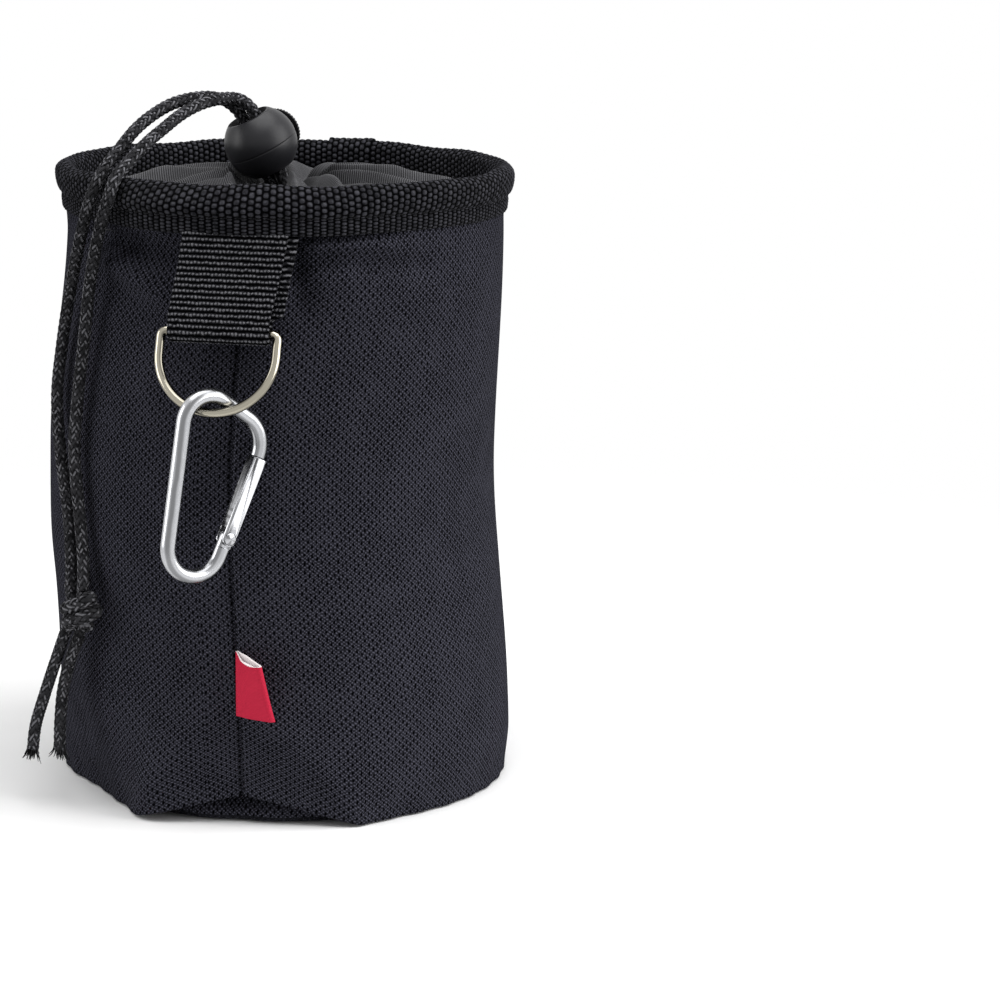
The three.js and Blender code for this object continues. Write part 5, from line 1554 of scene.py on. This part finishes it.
plastic = moulded("lock_plastic", 0.32, 0.25)
along_ball, _ = plastic.threads()
# Painted shade: the parting line is painted nearly black, as shade in its groove.
parting = 1 - (along_ball - parting_at).size().ramp(0.06, 0.16)
plastic.feed(Base_Color=plastic.mix(parting * 0.9, tint(28, 28, 31), tint(6, 6, 7)))
button_plastic = moulded("button_plastic", 0.36, 0.2, Base_Color=tint(24, 24, 26))
for made, piece in ((plastic, lock_ball), (button_plastic, lock_plunger)):
    made.feed(Normal=made.relief(made.grain(MOULD_GRAIN, 3.0), MOULD_DEPTH, 0.35))
    made.wear(piece)
# Painted shade: the faces inside the cord passage get a near-black plastic.
moulded("lock_passage_shade", 0.5, 0.05, Base_Color=tint(9, 9, 10)).wear_on(lock_ball, inside_mouth)

# %% Metals
REFLECTION_BAND_RATIO, REFLECTION_BAND_SHADE = 9, 0.46


def drawn_metal(name, colour, gloss, lines, *pieces):
    """Metal with fine lines along the wire, and broad dark bands along it as painted reflections, both from
    the map round its section; lines is the fine lines' pitch.
    """
    metal = Finish(name, Metallic=1.0, Specular_IOR_Level=0.5)
    _, round_wire = metal.threads()
    drawn = round_wire.wave(lines, metal.grain(3.0) * 2.0)
    # Painted reflections: broad dark bands round the section, standing in for dark surroundings mirrored in
    # the wire.
    painted_reflection_bands = round_wire.wave(REFLECTION_BAND_RATIO * lines, metal.grain(6.0) * 1.5)
    metal.feed(Base_Color=metal.mix(painted_reflection_bands.ramp(-0.9, 0.5), shade(colour, REFLECTION_BAND_SHADE), colour))
    metal.feed(Roughness=metal.grain(2.0, 3.0) * 0.14 + gloss)
    metal.feed(Normal=metal.relief(drawn, 0.004, 0.5))
    metal.wear(*pieces)


gate_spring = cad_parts["carabiner_gate_spring"]
carabiner_pieces = (carabiner_body, carabiner_gate, carabiner_rivet)
drawn_metal("bright_aluminium", tint(180, 181, 184), 0.16, 0.3, *carabiner_pieces)
drawn_metal("nickel_plate", tint(162, 157, 143), 0.07, 0.26, ring)
drawn_metal("spring_wire", tint(186, 187, 189), 0.22, 0.2, lock_spring, gate_spring)

# %% [markdown]
# ## Label tape
# A close woven satin tape, red outside and white within, with a fine rib across it. Two materials on one
# mesh keep the fold's edge exact: the second half of each level's loop is the inside.

# %% Label
LABEL_RIB, LABEL_WARP = 0.42, 0.3
label_red = tint(188, 36, 63)
label = Finish("label_red", Roughness=0.75, Specular_IOR_Level=0.1)
up_tab, along_tab = label.threads()
rib = up_tab.wave(LABEL_RIB)
label.feed(Base_Color=label.mix(rib.ramp(-1.0, 1.0) * 0.35, label_red, shade(label_red, 0.7)))
label.feed(Normal=label.relief(rib + along_tab.wave(LABEL_WARP) * 0.4, 0.05, 0.6))
label.wear(side_tab)
lining = Finish("label_white", Roughness=0.7, Specular_IOR_Level=0.3)
lining_rib = lining.threads()[0].wave(LABEL_RIB).ramp(-1.0, 1.0)
lining.feed(Base_Color=lining.mix(lining_rib * 0.3, tint(236, 232, 232), tint(214, 170, 176)))
loop_count = len(tab_loop)
inner_faces = np.arange(len(side_tab.data.polygons)) % loop_count >= loop_count // 2
inner_faces[-2:] = True
lining.wear_on(side_tab, inner_faces)

# %% [markdown]
# ## Studio
# A pale floor that fades to the white ground, a large soft lamp above and one at each side, the stronger
# one on the right, and an even surround. The surround lights the object softly, while the view and the
# reflections get plain white: a strength of 1 for those rays gives a white ground without more light.

# %% Floor
FLOOR_SIZE, FADE_FROM, FADE_TO = 1.6, 0.12, 0.42
corners = np.array([(-1, -1, 0), (1, -1, 0), (1, 1, 0), (-1, 1, 0)], float) * FLOOR_SIZE / 2
floor_data = bpy.data.meshes.new("floor")
floor_data.from_pydata(corners.tolist(), [], [(0, 1, 2, 3)])
floor = added("floor", floor_data)
floor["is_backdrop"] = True
ground = Finish("pale_floor", Roughness=0.9, Specular_IOR_Level=0.1)
ground.feed(Base_Color=ground.mix(ground.grain(30.0), tint(240, 240, 240), tint(244, 244, 244)))
place = ground.node("TexCoord", output="Object")
from_middle = ground.node("VectorMath", {"operation": "LENGTH"}, {0: place}, "Value")
fading = {0: from_middle.ramp(FADE_FROM, FADE_TO), 1: ground.shader, 2: ground.node("BsdfTransparent")}
ground.join(ground.out.node.inputs[0], ground.node("MixShader", None, fading))
ground.wear(floor)

# %% Surround
SOFT_LIGHT, WHITE_GROUND = 0.28, 1.0
world = bpy.data.worlds.new("surround")
bpy.context.scene.world = world
surround = Tree(world)
viewed, mirrored, bent = (
    surround.node("LightPath", output=f"Is {kind} Ray") for kind in ("Camera", "Glossy", "Transmission")
)
soft, plain = (
    surround.node("Background", None, {"Color": (1, 1, 1, 1), "Strength": strength})
    for strength in (SOFT_LIGHT, WHITE_GROUND)
)
chosen = surround.node("MixShader", None, {0: viewed.above(mirrored.above(bent)), 1: soft, 2: plain})
surround.node("OutputWorld", None, {0: chosen})
print("nodes in the surround:", len(surround.tree.nodes))

# %% Lamps
# Name, place, height aimed at, size and power
LAMPS = [
    ("lamp_above", (0.1, -0.1, 1.0), 0.1, (0.9, 0.9), 10.5),
    ("lamp_right", (0.9, -0.1, 0.45), 0.09, (0.8, 0.9), 9.6),
    ("lamp_left", (-0.9, -0.35, 0.4), 0.09, (0.5, 0.8), 4.6),
]
for name, place, aim, size, power in LAMPS:
    data = bpy.data.lights.new(name, "AREA")
    data.shape, data.energy = "RECTANGLE", power
    data.size, data.size_y = size
    lamp = added(name, data)
    lamp.location = place
    lamp.rotation_euler = (Vector((0, 0, aim)) - Vector(place)).to_track_quat("-Z", "Y").to_euler()
bpy.context.scene.view_settings.view_transform = "Standard"
print("lamps:", len(LAMPS))

# %% [markdown]
# ## Size
# The dressed model should fill the same box as the CAD model, give or take the depth of a weave.

# %% The boxes of the CAD model and the dressed model
dressed_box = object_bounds()
boxes = {"cad": cad_box, "visual": dressed_box}
boxes = {name: [list(map(float, corner)) for corner in box] for name, box in boxes.items()}
print(boxes)
